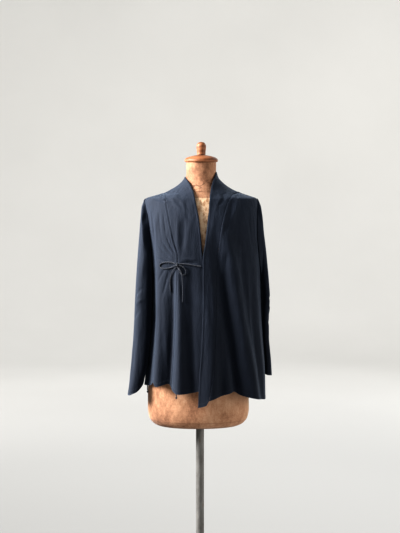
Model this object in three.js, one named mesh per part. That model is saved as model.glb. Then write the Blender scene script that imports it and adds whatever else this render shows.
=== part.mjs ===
// A long-sleeved wrap bolero of thin navy cloth, worn by a limbless dress form on a round-footed pole.
// Millimetres, +Z up. The wearer faces -Y, so the wearer's right side is -X. The origin is on the floor,
// under the pole. The worn cloth is described by two numbers: a turn round the body in degrees and a
// height. The turn is 0 at the centre front, +90 at the wearer's left side, 180 at the centre back and -90
// at the wearer's right side.
import * as THREE from "three";

const clothThickness = 1.5;
const seamGap = 0.4;
const mostInset = 3; // degrees
const mostSlant = 5;
const frontTipCut = 0.15; // share of a front's first row that is left out, where its seams run together
const nearSeat = 0.3; // between pieces that touch
const normalStep = 0.4; // degrees and millimetres, for the cloth's normals
const halvings = 16;
const newtonSteps = 6;

// Heights of the garment's landmarks.
const collarTop = 1559;
const collarTilt = 8; // the collar stands higher on the wearer's left and lower on the right, by this much
const neckSeam = 1506; // where the collar band joins the back and the shoulders
const shoulderTip = 1484;
const underarm = 1286;
const hemLevel = 875; // mean height of the hem
const hemSwayTop = 1120; // above this the rows of the cloth are level
const armholeTurns = { front: 16, back: 24 }; // how far the armhole goes before and behind the side
const sectionRows = { collar: 4, shoulder: 3, armhole: 10, skirt: 12 };

// The worn cloth's outline: how far it reaches from the pole's axis, and how pointed its sides are.
const bodySections = [
  { z: 1575, right: 47, left: 50.5, front: 52, back: 54, pointed: 1.0 },
  { z: 1551, right: 48, left: 57, front: 55, back: 58, pointed: 1.0 },
  { z: 1542, right: 53, left: 63.5, front: 57, back: 61, pointed: 1.05 },
  { z: 1528, right: 67, left: 79, front: 62, back: 67, pointed: 1.15 },
  { z: 1514, right: 89, left: 100, front: 69, back: 75, pointed: 1.3 },
  { z: 1502, right: 113, left: 128, front: 76, back: 83, pointed: 1.35 },
  { z: 1493, right: 145, left: 155, front: 81, back: 88, pointed: 1.33 },
  { z: 1484, right: 170.5, left: 178, front: 86.5, back: 93.5, pointed: 1.27 },
  { z: 1475, right: 174, left: 182, front: 90.5, back: 97.5, pointed: 1.2 },
  { z: 1466, right: 173.5, left: 183, front: 94, back: 101, pointed: 1.14 },
  { z: 1431, right: 168, left: 184, front: 105, back: 109, pointed: 0.95 },
  { z: 1373, right: 161, left: 185, front: 114, back: 113, pointed: 0.85 },
  { z: 1315, right: 154, left: 187, front: 118, back: 113, pointed: 0.85 },
  { z: 1250, right: 151, left: 189, front: 120, back: 112, pointed: 0.85 },
  { z: 1134, right: 152, left: 193, front: 127, back: 117, pointed: 0.85 },
  { z: 1039, right: 160, left: 199, front: 133, back: 127, pointed: 0.85 },
  { z: 944, right: 171, left: 206, front: 142, back: 141, pointed: 0.85 },
  { z: 850, right: 181, left: 208, front: 151, back: 155, pointed: 0.85 },
];

// Soft folds of the hanging cloth. Each starts at a height and has its full depth at the hem. The turns and
// the half-widths are those at its start and at the hem.
const foldGrowth = 0.8; // below 1 a fold deepens quickly below its start
const foldBulge = 0.6; // and the more, the deeper the folds are halfway down
const foldsEnd = 1.05; // below the hem the folds deepen no further, as a share of the way down to it
const folds = [
  { name: "tie ridge", start: 1300, turns: [-26, -20], depth: 17, widths: [5, 8] },
  { name: "tie hollow", start: 1300, turns: [-35, -35], depth: -16, widths: [5, 6.5] },
  { name: "right side ridge", start: 1380, turns: [-58, -47], depth: 12, widths: [9, 8] },
  { name: "right side hollow", start: 1280, turns: [-74, -66], depth: -7, widths: [7, 8] },
  { name: "underlap hollow", start: 1320, turns: [-11, -7], depth: -8, widths: [6, 6] },
  { name: "band ridge", start: 1340, turns: [13, 9], depth: 6, widths: [6, 6] },
  { name: "left hollow", start: 1400, turns: [13, 35], depth: -18, widths: [6, 7] },
  { name: "left ridge", start: 1470, turns: [21, 51], depth: 22, widths: [7.5, 9.5] },
  { name: "small hollow", start: 1130, turns: [16, 19], depth: -6, widths: [4, 4.5] },
  { name: "small ridge", start: 1130, turns: [22, 27], depth: 6, widths: [4, 4.5] },
  { name: "left side ridge", start: 1320, turns: [64, 70], depth: 6, widths: [6, 6] },
  { name: "left sleeve hollow", start: 1440, turns: [114, 116], depth: -30, widths: [12, 13] },
  { name: "back ridge left", start: 1350, turns: [142, 145], depth: 14, widths: [7, 8] },
  { name: "back hollow left", start: 1350, turns: [160, 162], depth: -12, widths: [7, 8] },
  { name: "back ridge", start: 1370, turns: [178, 180], depth: 15, widths: [8, 9] },
  { name: "back hollow right", start: 1350, turns: [-162, -160], depth: -13, widths: [7, 8] },
  { name: "back ridge right", start: 1330, turns: [-144, -140], depth: 15, widths: [8, 9] },
  { name: "right sleeve hollow", start: 1310, turns: [-118, -116], depth: -12, widths: [10, 10] },
];

// The wearer's left front laps over the right front, and stands off it by this much at the centre.
const lap = { lift: 4.6, fullBelow: 1320, noneAbove: 1400, fullInside: 13, noneOutside: 27 };

// Height of the hem round the body.
const rightHem = [
  { turn: -90, z: 896 }, { turn: -66, z: 904 }, { turn: -54, z: 917 }, { turn: -47, z: 907 },
  { turn: -37, z: 916 }, { turn: -30, z: 900 }, { turn: -20, z: 891 }, { turn: -9, z: 893 },
  { turn: 0, z: 899 }, { turn: 9, z: 904 },
];
const leftHem = [
  { turn: 7.2, z: 871 }, { turn: 19, z: 884 }, { turn: 32, z: 893 }, { turn: 39, z: 881 },
  { turn: 55, z: 867 }, { turn: 90, z: 850 },
];
// The left band hangs lower than the front that it is sewn to.
const bandHem = [{ turn: -2, z: 849 }, { turn: 5, z: 857 }, { turn: 7.2, z: 871 }];
const backHem = [
  { turn: 90, z: 850 }, { turn: 120, z: 866 }, { turn: 150, z: 862 }, { turn: 180, z: 868 },
  { turn: 210, z: 866 }, { turn: 240, z: 882 }, { turn: 270, z: 896 },
];

// Routes of the tie's cords and of the inner ties that show below the hem: a distance to the wearer's left
// of the centre, a height and a distance outside the right front's cloth.
const tieKnot = [-68, 1285, 4.9];
const cords = {
  tie_lead: [[-61.5, 1287.5, 3.4], [-42, 1286.5, 2.2], [-20, 1283, 2.2], [2.5, 1279.5, 2.4]],
  tie_loop_side: [
    [-74.2, 1288, 4.2], [-84, 1290.6, 4.4], [-96, 1291.6, 4.2], [-108, 1289.8, 3.4], [-117, 1285, 2.6],
    [-119.8, 1279, 2.2], [-116, 1273, 2.2], [-107, 1271.2, 2.4], [-93, 1273.6, 2.8], [-74.4, 1281.8, 4],
  ],
  tie_loop_band: [
    [-62.4, 1282.3, 4.4], [-55, 1281.5, 5.8], [-47.5, 1276.5, 5.6], [-43, 1268.5, 4.6],
    [-42.5, 1260.5, 3.4], [-46, 1254.2, 2.4], [-52, 1253.4, 2.2], [-57, 1258, 2.2],
    [-60, 1266.5, 2.6], [-64.7, 1276.5, 3.8],
  ],
  tie_end_side: [
    [-71.6, 1277.2, 4], [-81, 1266.5, 4.2], [-89, 1252, 3.6], [-92, 1230, 3.2], [-92, 1202, 3.2],
  ],
  tie_end_band: [
    [-65, 1277.8, 8.3], [-58.5, 1271, 8.4], [-54, 1261, 7.8], [-52, 1248, 6.6], [-51.5, 1230, 4.2],
    [-51, 1204, 2.4], [-51.5, 1171, 2.2],
  ],
  hem_tie_front: [[-71, 920, -5.3], [-70, 902, -4.6], [-69, 883.5, -4.6]],
  hem_tie_side: [[-171, 920, -3.8], [-171, 902, -4.6], [-171, 883.5, -4.6]],
};
const hemKnots = { hem_tie_front_knot: [-69, 879.8, -4.6], hem_tie_side_knot: [-171, 879.8, -4.6] };

// Free edges and band seams, as a distance to the wearer's left of the centre, by height.
const rightEdge = [
  { z: 1575, x: -47 }, { z: 1551, x: -46 }, { z: 1537, x: -36 }, { z: 1521, x: -27 },
  { z: 1503, x: -19 }, { z: 1466, x: -11 }, { z: 1431, x: -4 }, { z: 1373, x: 3 },
  { z: 1315, x: 8 }, { z: 1270, x: 17 }, { z: 1180, x: 24 }, { z: 875, x: 26 },
];
const leftEdge = [
  { z: 1575, x: 52 }, { z: 1564, x: 50 }, { z: 1531, x: 38 }, { z: 1503, x: 31 },
  { z: 1454, x: 27 }, { z: 1408, x: 22 }, { z: 1350, x: 15 }, { z: 1300, x: 8 },
  { z: 1208, x: 8 }, { z: 1071, x: 5 }, { z: 994, x: 1 }, { z: 934, x: -3 },
  { z: 850, x: -6 },
];
const rightSeam = [
  { z: 1505, x: -125 }, { z: 1497, x: -109 }, { z: 1471, x: -105 }, { z: 1414, x: -94 },
  { z: 1357, x: -81 }, { z: 1308, x: -69 }, { z: 1269, x: -69 }, { z: 1178, x: -71 },
  { z: 1117, x: -75 }, { z: 1025, x: -82 }, { z: 950, x: -90 }, { z: 875, x: -98 },
];
const leftSeam = [
  { z: 1505, x: 135 }, { z: 1497, x: 102 }, { z: 1454, x: 79 }, { z: 1385, x: 62 },
  { z: 1306, x: 54 }, { z: 1293, x: 52 }, { z: 1177, x: 50 }, { z: 1055, x: 46 },
  { z: 964, x: 41 }, { z: 904, x: 33 }, { z: 870, x: 26 },
];

// The hanging sleeves are flattened tubes: how far out they reach, where their middle is from front to
// back, their half-widths across and along, and how far the front is turned outwards.
const rightSleeve = [
  { z: 1484, reach: 176, y: 4, thin: 16, wide: 44, yaw: 0 },
  { z: 1458, reach: 182, y: 4, thin: 18, wide: 48, yaw: 0 },
  { z: 1422, reach: 186, y: 4, thin: 19, wide: 52, yaw: 0 },
  { z: 1369, reach: 190.5, y: 3, thin: 21.5, wide: 56, yaw: 0 },
  { z: 1274, reach: 198, y: 2, thin: 26, wide: 59, yaw: 0 },
  { z: 1186, reach: 203.5, y: 0, thin: 28.5, wide: 59, yaw: 0 },
  { z: 1080, reach: 208.5, y: -4, thin: 29.5, wide: 57, yaw: 0 },
  { z: 975, reach: 215, y: -11, thin: 28, wide: 53, yaw: 0 },
  { z: 907, reach: 222.5, y: -17, thin: 23, wide: 50, yaw: 0 },
  { z: 865, reach: 228, y: -20, thin: 20, wide: 47, yaw: 0 },
];
const leftSleeve = [
  { z: 1484, reach: 183, y: 4, thin: 15, wide: 44, yaw: 0 },
  { z: 1458, reach: 190, y: 8, thin: 15, wide: 48, yaw: 3 },
  { z: 1437, reach: 194, y: 12, thin: 15, wide: 51, yaw: 6 },
  { z: 1376, reach: 200.5, y: 22, thin: 15, wide: 55, yaw: 11 },
  { z: 1315, reach: 208, y: 32, thin: 15, wide: 57, yaw: 14 },
  { z: 1211, reach: 218.5, y: 45, thin: 15, wide: 57, yaw: 16 },
  { z: 1170, reach: 221, y: 48, thin: 15, wide: 57, yaw: 17 },
  { z: 1120, reach: 218.5, y: 52, thin: 15, wide: 55, yaw: 17 },
  { z: 1054, reach: 219.5, y: 57, thin: 16, wide: 54, yaw: 17 },
  { z: 960, reach: 227.5, y: 62, thin: 16, wide: 50, yaw: 16 },
  { z: 919, reach: 229.5, y: 63, thin: 16, wide: 48, yaw: 15 },
];
const sleeves = {
  right: { side: -1, rows: rightSleeve, cuffOuter: 869, cuffRise: 38, blendOuter: 26, blendInner: 100 },
  left: { side: 1, rows: leftSleeve, cuffOuter: 919, cuffRise: 8, blendOuter: 26, blendInner: 100 },
};
const sleeveClearance = 3.2; // least distance from the body's outer face to the middle of a sleeve's wall
const sleeveSoftness = 5;
const sleeveSquareness = 0.72; // 1 gives an oval section, and less one with flatter sides
const sleeveRings = { round: 20, down: 20, crowding: 1.25 };

// The dress form: a covered torso, closed below, with a turned cap and finial on the neck.
const formSections = [
  { z: 764, side: 112, front: 62, back: 66, pointed: 0.85 },
  { z: 768, side: 130, front: 78, back: 84, pointed: 0.85 },
  { z: 777, side: 146, front: 92, back: 100, pointed: 0.85 },
  { z: 794, side: 157, front: 101, back: 111, pointed: 0.85 },
  { z: 822, side: 161, front: 105, back: 116, pointed: 0.85 },
  { z: 900, side: 160, front: 106, back: 117, pointed: 0.85 },
  { z: 960, side: 153, front: 104, back: 112, pointed: 0.85 },
  { z: 1040, side: 136, front: 95, back: 96, pointed: 0.87 },
  { z: 1130, side: 118, front: 86, back: 82, pointed: 0.9 },
  { z: 1220, side: 124, front: 95, back: 90, pointed: 0.88 },
  { z: 1300, side: 134, front: 106, back: 101, pointed: 0.86 },
  { z: 1345, side: 140, front: 107, back: 105, pointed: 0.86 },
  { z: 1400, side: 145, front: 101, back: 104, pointed: 0.9 },
  { z: 1440, side: 150, front: 93, back: 99, pointed: 1.0 },
  { z: 1464, side: 153, front: 85, back: 92, pointed: 1.15 },
  { z: 1481, side: 148, front: 79, back: 86, pointed: 1.3 },
  { z: 1491.5, side: 128, front: 74, back: 81, pointed: 1.35 },
  { z: 1501, side: 100, front: 69, back: 76, pointed: 1.35 },
  { z: 1511, side: 79.6, front: 64.6, back: 69.6, pointed: 1.25 },
  { z: 1524, side: 62.6, front: 57.6, back: 60.6, pointed: 1.1 },
  { z: 1541, side: 50.6, front: 50.6, back: 52.6, pointed: 1.0 },
  { z: 1565, side: 46.6, front: 47, back: 48, pointed: 1.0 },
  { z: 1597, side: 47, front: 47, back: 48, pointed: 1.0 },
];
const formRound = 32;
const tallestFormRow = 45;
// The form leans a little to the wearer's left as it rises.
const formLean = { atBottom: -6, atTop: 4, bottom: 764, top: 1597 };
const capProfile = [
  [0, 0], [48, 0], [51.5, 1.5], [52.5, 5.5], [51, 10], [45, 14.5], [30, 19], [14.5, 22], [0, 22],
];
const finialProfile = [
  [0, 0], [13.6, 0], [13.3, 4], [13.6, 12], [14.7, 20], [15.1, 26], [14.3, 32], [11.4, 37], [6.5, 39.9],
  [0, 40.7],
];

const poleRadius = 12.7;
// The foot's upper face, from its edge inwards: a distance from the pole's axis and a height.
const footSlope = [
  [156, 0], [158, 2], [158, 6], [154, 10], [94.8, 14], [38, 20], [26, 32], [22, 44], [22, 68],
];
const footBore = { radius: poleRadius + nearSeat, floor: 16 };

const cordRadius = 1.5;
const cordStep = 6;
const cordSides = 8;

// A smooth value from a table, between its rows and level past its ends. Its slopes never overshoot a row.
function fromTable(rows, at, key, value) {
  const ordered = rows[0][at] < rows[rows.length - 1][at] ? rows : [...rows].reverse();
  const last = ordered.length - 1;
  if (value <= ordered[0][at]) return ordered[0][key];
  if (value >= ordered[last][at]) return ordered[last][key];
  let i = 0;
  while (value > ordered[i + 1][at]) i++;
  const rise = (j) => (ordered[j + 1][key] - ordered[j][key]) / (ordered[j + 1][at] - ordered[j][at]);
  const slope = (j) => {
    if (j === 0) return rise(0);
    if (j === last) return rise(last - 1);
    const [a, b] = [rise(j - 1), rise(j)];
    return a * b <= 0 ? 0 : (2 * a * b) / (a + b);
  };
  const span = ordered[i + 1][at] - ordered[i][at];
  const s = (value - ordered[i][at]) / span;
  const keep = (1 + 2 * s) * (1 - s) ** 2;
  return (
    keep * ordered[i][key] +
    (1 - keep) * ordered[i + 1][key] +
    span * s * (1 - s) * ((1 - s) * slope(i) - s * slope(i + 1))
  );
}

const radians = (degrees) => (degrees * Math.PI) / 180;
const mix = (a, b, share) => a + (b - a) * share;
const smoothStep = (share) => {
  const s = Math.min(1, Math.max(0, share));
  return s * s * (3 - 2 * s);
};

// How far the folds push the cloth out at a turn and a height.
function foldDepth(turn, z) {
  return folds.reduce((sum, fold) => {
    const down = Math.min(foldsEnd, Math.max(0, (fold.start - z) / (fold.start - hemLevel)));
    const away = ((turn - mix(...fold.turns, down) + 540) % 360) - 180;
    const width = mix(...fold.widths, down);
    const deepened = down ** foldGrowth * (1 + foldBulge * (1 - down));
    return sum + fold.depth * deepened * Math.exp(-((away / width) ** 2));
  }, 0);
}

function lapLift(turn, z) {
  const across = 1 - smoothStep((turn - lap.fullInside) / (lap.noneOutside - lap.fullInside));
  return lap.lift * across * (1 - smoothStep((z - lap.fullBelow) / (lap.noneAbove - lap.fullBelow)));
}

// The body's smooth form without its folds: a point at a turn and a height, and the way that folds push it.
function bodyForm(turn, z) {
  const [s, c] = [Math.sin(radians(turn)), Math.cos(radians(turn))];
  const across = fromTable(bodySections, "z", s < 0 ? "right" : "left", z);
  const deep = fromTable(bodySections, "z", c > 0 ? "front" : "back", z);
  const pointed = fromTable(bodySections, "z", "pointed", z);
  return {
    point: new THREE.Vector3(across * s, -deep * Math.sign(c) * Math.abs(c) ** pointed, z),
    outward: new THREE.Vector3(deep * s, -across * c, 0).normalize(),
  };
}

// How far the folds and the lap push a layer of cloth out: "right", "left", "band" or "back".
function liftOf(turn, z, layer) {
  return foldDepth(turn, z) + (layer === "left" || layer === "band" ? lapLift(turn, z) : 0);
}

// A point at a turn and a height, a distance outside the worn cloth's outer face.
function clothPoint(turn, z, layer, away = 0) {
  const { point, outward } = bodyForm(turn, z);
  return point.addScaledVector(outward, liftOf(turn, z, layer) + away);
}

// The turn at which a point lies, and its distance from the worn cloth: the reverse of clothPoint.
function placeOf(point, layer) {
  const formAt = (turn, off) => {
    const { point: base, outward } = bodyForm(turn, point.z);
    return base.addScaledVector(outward, off);
  };
  const across = fromTable(bodySections, "z", point.x < 0 ? "right" : "left", point.z);
  const deep = fromTable(bodySections, "z", point.y < 0 ? "front" : "back", point.z);
  let turn = (Math.atan2(point.x / across, -point.y / deep) * 180) / Math.PI;
  let off = 0;
  for (let round = 0; round < newtonSteps; round++) {
    const { point: base, outward } = bodyForm(turn, point.z);
    const left = point.clone().sub(base);
    const tangent = new THREE.Vector3(-outward.y, outward.x, 0);
    off = left.dot(outward);
    const speed = formAt(turn + 0.5, off).sub(formAt(turn - 0.5, off)).dot(tangent);
    turn += left.dot(tangent) / Math.max(speed, 0.5);
  }
  return { turn, off: off - liftOf(turn, point.z, layer) };
}

// The height of the cloth's row that is nominally at a level, at a turn round the body.
function rowHeight(level, turn, layer) {
  const hem = { right: rightHem, left: leftHem, back: backHem, band: bandHem }[layer];
  const hemTurn = layer === "back" && turn < 0 ? turn + 360 : turn;
  const sway = Math.max(0, (hemSwayTop - level) / (hemSwayTop - hemLevel)) ** 2;
  const upCollar = Math.max(0, (level - shoulderTip) / (collarTop - shoulderTip));
  const tilt = upCollar * collarTilt * Math.sin(radians(turn));
  return level + sway * (fromTable(hem, "turn", "z", hemTurn) - hemLevel) + tilt;
}

// A point of a piece of cloth with its outer and inner face, at a turn and a nominal level. Two pieces that
// meet take their normals at the seam between them, so that their edges stay parallel.
function clothNode(turn, level, layer, normalTurn) {
  const z = rowHeight(level, turn, layer);
  const at = (turnStep, rise) => clothPoint(normalTurn + turnStep, z + rise, layer);
  const along = at(normalStep, 0).sub(at(-normalStep, 0));
  const up = at(0, normalStep).sub(at(0, -normalStep));
  const normal = along.cross(up).normalize();
  const outer = clothPoint(turn, z, layer);
  return { outer, normal, inner: outer.clone().addScaledVector(normal, -clothThickness) };
}

// The turn at which the cloth lies a distance to the wearer's left of the centre.
function turnAt(x, z) {
  const across = fromTable(bodySections, "z", x < 0 ? "right" : "left", z);
  return (Math.asin(Math.min(1, Math.max(-1, x / across))) * 180) / Math.PI;
}

// The turn of a free edge or a seam on the row at a level. Its table gives true heights, so the hem's
// sway counts.
function edgeTurn(table, layer) {
  const turnOf = (z) => turnAt(fromTable(table, "z", "x", z), z);
  return (level) => turnOf(rowHeight(level, turnOf(rowHeight(level, turnOf(level), layer)), layer));
}

// How far the armhole's edge is from the side at a level, as a share of its greatest turn.
function armholeAt(level) {
  const share = (level - (shoulderTip + underarm) / 2) / ((shoulderTip - underarm) / 2);
  return Math.abs(share) >= 1 ? 0 : Math.sqrt(1 - share * share);
}

// The nominal levels of the cloth's rows, from the top of the collar down to the hem.
function rowLevels() {
  const evenly = (from, to, count) => Array.from({ length: count }, (_, i) => mix(from, to, i / count));
  const armhole = evenly(0, Math.PI, sectionRows.armhole).map((angle) =>
    (shoulderTip + underarm) / 2 + ((shoulderTip - underarm) / 2) * Math.cos(angle));
  return [
    ...evenly(collarTop, neckSeam, sectionRows.collar),
    ...evenly(neckSeam, shoulderTip, sectionRows.shoulder),
    ...armhole,
    ...evenly(underarm, hemLevel, sectionRows.skirt),
    hemLevel,
  ];
}
const levels = rowLevels();
const collarLevels = levels.slice(0, sectionRows.collar + 1);
const panelLevels = levels.slice(sectionRows.collar);

// The turn that lies a distance along the cloth from an edge's turn, towards another turn.
function insetTurn(edge, towards, level, layer, distance) {
  const z = rowHeight(level, edge, layer);
  const start = clothPoint(edge, z, layer);
  let [near, far] = [edge, edge + Math.sign(towards - edge) * mostInset];
  for (let halving = 0; halving < halvings; halving++) {
    const middle = (near + far) / 2;
    if (clothPoint(middle, z, layer).distanceTo(start) < distance) near = middle;
    else far = middle;
  }
  return near;
}

// How much an edge's slant lengthens a level step across its seam gap.
function slantOf(edge, rows, r, layer) {
  const [upper, lower] = r + 1 < rows.length ? [rows[r], rows[r + 1]] : [rows[r - 1], rows[r]];
  const [a, b] = [upper, lower].map((level) =>
    clothPoint(edge(level), rowHeight(level, edge(level), layer), layer));
  return Math.min(mostSlant, a.distanceTo(b) / Math.abs(a.z - b.z));
}

// A grid of cloth between two turns that depend on the level, kept half a seam gap inside each.
function clothGrid(layer, rows, from, to, columns) {
  return rows.map((level, r) => {
    const [a, b] = [from(level), to(level)];
    const first = insetTurn(a, b, level, layer, (seamGap / 2) * slantOf(from, rows, r, layer));
    const last = insetTurn(b, a, level, layer, (seamGap / 2) * slantOf(to, rows, r, layer));
    return Array.from({ length: columns + 1 }, (_, i) =>
      clothNode(mix(first, last, i / columns), level, layer, mix(a, b, i / columns)));
  });
}

// A point part of the way from one node of cloth to another.
function between(from, to, share) {
  return {
    outer: from.outer.clone().lerp(to.outer, share),
    inner: from.inner.clone().lerp(to.inner, share),
  };
}

const geometryOf = (positions) =>
  new THREE.BufferGeometry().setAttribute("position", new THREE.Float32BufferAttribute(positions, 3));

// A closed wall from grids of nodes with an outer and an inner face. Rows run down and columns run
// anticlockwise seen from above. Grids that share an edge are joined along it.
function clothWall(grids) {
  const found = new Map();
  const nodes = [];
  const idOf = (node) => {
    const key = node.outer.toArray().map((v) => v.toFixed(3)).join();
    if (!found.has(key)) {
      found.set(key, nodes.length);
      nodes.push(node);
    }
    return found.get(key);
  };
  const faces = [];
  for (const grid of grids)
    for (let r = 0; r + 1 < grid.length; r++)
      for (let c = 0; c + 1 < grid[r].length; c++) {
        const [a, b, d, e] = [grid[r][c], grid[r][c + 1], grid[r + 1][c + 1], grid[r + 1][c]].map(idOf);
        faces.push([a, e, d], [a, d, b]);
      }
  const solidFaces = faces.filter(([a, b, c]) => a !== b && b !== c && c !== a);
  const directed = new Set(solidFaces.flatMap(([a, b, c]) => [`${a} ${b}`, `${b} ${c}`, `${c} ${a}`]));
  const positions = [];
  const add = (...points) => points.forEach((p) => positions.push(p.x, p.y, p.z));
  for (const [a, b, c] of solidFaces) {
    add(nodes[a].outer, nodes[b].outer, nodes[c].outer);
    add(nodes[c].inner, nodes[b].inner, nodes[a].inner);
  }
  for (const edge of directed) {
    const [p, q] = edge.split(" ").map(Number);
    if (directed.has(`${q} ${p}`)) continue;
    add(nodes[q].outer, nodes[p].outer, nodes[p].inner);
    add(nodes[q].outer, nodes[p].inner, nodes[q].inner);
  }
  return geometryOf(positions);
}

// The collar band of one front: up the front edge, over the shoulder and round to the centre back.
function bandGrids(layer, edge, seam, columns, neckColumns) {
  const side = layer === "right" ? -1 : 1;
  const free = edgeTurn(edge, layer);
  const joined = edgeTurn(seam, layer);
  const ridge = () => side * 90;
  const centreBack = () => side * 180;
  const grid = (rows, from, to, count) =>
    side < 0 ? clothGrid(layer, rows, from, to, count) : clothGrid(layer, rows, to, from, count);
  return [
    grid(panelLevels, joined, free, columns),
    grid(collarLevels, ridge, free, columns),
    grid(collarLevels, centreBack, ridge, neckColumns),
  ];
}

// The band grids are inset one by one, so the edges that they share inside a band are put back on one line.
function joinedBand(grids, side) {
  const [front, neckFront, neckBack] = grids;
  neckFront[neckFront.length - 1] = front[0];
  neckFront.forEach((row, r) => {
    const shared = side < 0 ? row[0] : row[row.length - 1];
    const back = neckBack[r];
    if (side < 0) back[back.length - 1] = shared;
    else back[0] = shared;
  });
  return clothWall([front, neckFront, neckBack]);
}

function frontPanel(layer, seam, columns) {
  const side = layer === "right" ? -1 : 1;
  const outside = (level) => side * (90 - armholeTurns.front * armholeAt(level));
  const edges = [outside, edgeTurn(seam, layer)];
  const [from, to] = side < 0 ? edges : edges.reverse();
  const grid = clothGrid(layer, panelLevels, from, to, columns);
  grid[0] = grid[0].map((node, i) => between(node, grid[1][i], frontTipCut));
  return clothWall([grid]);
}

function backPanel(columns) {
  const from = (level) => 90 + armholeTurns.back * armholeAt(level);
  const to = (level) => 270 - armholeTurns.back * armholeAt(level);
  const top = neckSeam - seamGap; // the collar band starts just above
  return clothWall([clothGrid("back", [top, ...panelLevels.slice(1)], from, to, columns)]);
}

// A point of the hanging sleeve's middle surface: a flattened tube, hung from the armhole's edge and kept
// outside the body's cloth. Round 0 is the outer side, 90 the front, 180 against the body and 270 the back.
function sleevePoint(sleeve, round, down) {
  const [c, s] = [Math.cos(radians(round)), Math.sin(radians(round))];
  const layer = sleeve.side < 0 || s < 0 ? "back" : "left";
  const edgeLevel = (shoulderTip + underarm) / 2 + ((shoulderTip - underarm) / 2) * c;
  const edgeTurn = sleeve.side * (90 - (s > 0 ? armholeTurns.front : armholeTurns.back) * s);
  const edgeAway = clothThickness / 2 + nearSeat * 2;
  const edgeZ = rowHeight(edgeLevel, edgeTurn, layer);
  const z = mix(edgeZ, sleeve.cuffOuter + sleeve.cuffRise * ((1 - c) / 2) ** 2, down);
  const at = (key) => fromTable(sleeve.rows, "z", key, z);
  const yaw = radians(at("yaw"));
  const norm = 2 / (2 - sleeveSquareness);
  const halfReach =
    ((at("thin") * Math.cos(yaw)) ** norm + (at("wide") * Math.sin(yaw)) ** norm) ** (1 / norm);
  const middle = at("reach") - clothThickness / 2 - halfReach;
  const squared = (value) => Math.sign(value) * Math.abs(value) ** sleeveSquareness;
  const [across, along] = [at("thin") * squared(c), at("wide") * squared(s)];
  const hanging = placeOf(new THREE.Vector3(
    sleeve.side * (middle + across * Math.cos(yaw) + along * Math.sin(yaw)),
    at("y") + across * Math.sin(yaw) - along * Math.cos(yaw),
    z,
  ), layer);
  const hung = smoothStep((edgeZ - z) / mix(sleeve.blendOuter, sleeve.blendInner, (1 - c) / 2));
  const inside = hanging.off - sleeveClearance;
  const cleared = sleeveClearance + (inside + Math.hypot(inside, sleeveSoftness)) / 2;
  return clothPoint(mix(edgeTurn, hanging.turn, hung), z, layer, mix(edgeAway, cleared, hung));
}

function sleeveWall(sleeve) {
  const { round, down, crowding } = sleeveRings;
  const turn = (i) => (-sleeve.side * 360 * i) / round;
  const middle = Array.from({ length: down + 1 }, (_, r) =>
    Array.from({ length: round }, (_, c) => sleevePoint(sleeve, turn(c), (r / down) ** crowding)));
  const grid = middle.map((ring, r) => {
    const nodes = ring.map((point, c) => {
      const along = ring[(c + 1) % round].clone().sub(ring[(c + round - 1) % round]);
      const up = middle[Math.max(r - 1, 0)][c].clone().sub(middle[Math.min(r + 1, down)][c]);
      const normal = along.cross(up).normalize();
      return {
        outer: point.clone().addScaledVector(normal, clothThickness / 2),
        inner: point.clone().addScaledVector(normal, -clothThickness / 2),
      };
    });
    return [...nodes, nodes[0]];
  });
  return clothWall([grid]);
}

// A closed loft through level rings from the bottom up, each an array of points, anticlockwise from above.
function loft(rings) {
  const positions = [];
  const add = (...points) => points.forEach((p) => positions.push(p.x, p.y, p.z));
  const sum = (ring) => ring.reduce((total, p) => total.add(p), new THREE.Vector3());
  const centre = (ring) => sum(ring).divideScalar(ring.length);
  const count = rings[0].length;
  const [low, high] = [rings[0], rings[rings.length - 1]];
  for (let c = 0; c < count; c++) {
    const next = (c + 1) % count;
    add(centre(low), low[next], low[c]);
    add(centre(high), high[c], high[next]);
    for (let r = 0; r + 1 < rings.length; r++) {
      add(rings[r][c], rings[r][next], rings[r + 1][next]);
      add(rings[r][c], rings[r + 1][next], rings[r + 1][c]);
    }
  }
  return geometryOf(positions);
}

function leanAt(z) {
  const { atBottom, atTop, bottom, top } = formLean;
  return mix(atBottom, atTop, (z - bottom) / (top - bottom));
}

function formTorso() {
  const heights = formSections.flatMap((row, i) =>
    i + 1 < formSections.length && formSections[i + 1].z - row.z > tallestFormRow
      ? [row.z, (row.z + formSections[i + 1].z) / 2]
      : [row.z]);
  return loft(heights.map((z) => {
    const at = (key) => fromTable(formSections, "z", key, z);
    return Array.from({ length: formRound }, (_, i) => {
      const [s, c] = [Math.sin((2 * Math.PI * i) / formRound), Math.cos((2 * Math.PI * i) / formRound)];
      const forward = at(c > 0 ? "front" : "back") * Math.sign(c) * Math.abs(c) ** at("pointed");
      return new THREE.Vector3(leanAt(z) + at("side") * s, -forward, z);
    });
  }));
}

// A turned piece from a profile of radius and height.
function turned(profile, segments) {
  const points = profile.map(([radius, z]) => new THREE.Vector2(radius, z));
  return new THREE.LatheGeometry(points, segments).rotateX(Math.PI / 2);
}

// A cord through points, as a tube with an eight-sided section.
function cord(points) {
  const path = new THREE.CatmullRomCurve3(points, false, "centripetal");
  const section = new THREE.Shape(
    Array.from({ length: cordSides }, (_, i) => {
      const angle = (2 * Math.PI * i) / cordSides;
      return new THREE.Vector2(cordRadius * Math.cos(angle), cordRadius * Math.sin(angle));
    }),
  );
  const steps = Math.max(4, Math.round(path.getLength() / cordStep));
  return new THREE.ExtrudeGeometry(section, { steps, bevelEnabled: false, extrudePath: path });
}

// A point in front of the right front's cloth: its distance to the wearer's left of the centre, its
// height, and its distance from the cloth.
function onFront([x, z, away]) {
  return clothPoint(turnAt(x, z), z, "right", away);
}

// A small knot: a ball drawn out along the vertical.
function knot(place, radius, stretch) {
  const ball = new THREE.SphereGeometry(radius, 12, 8).rotateX(Math.PI / 2).scale(1, 1, stretch);
  return ball.translate(...onFront(place));
}

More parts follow.
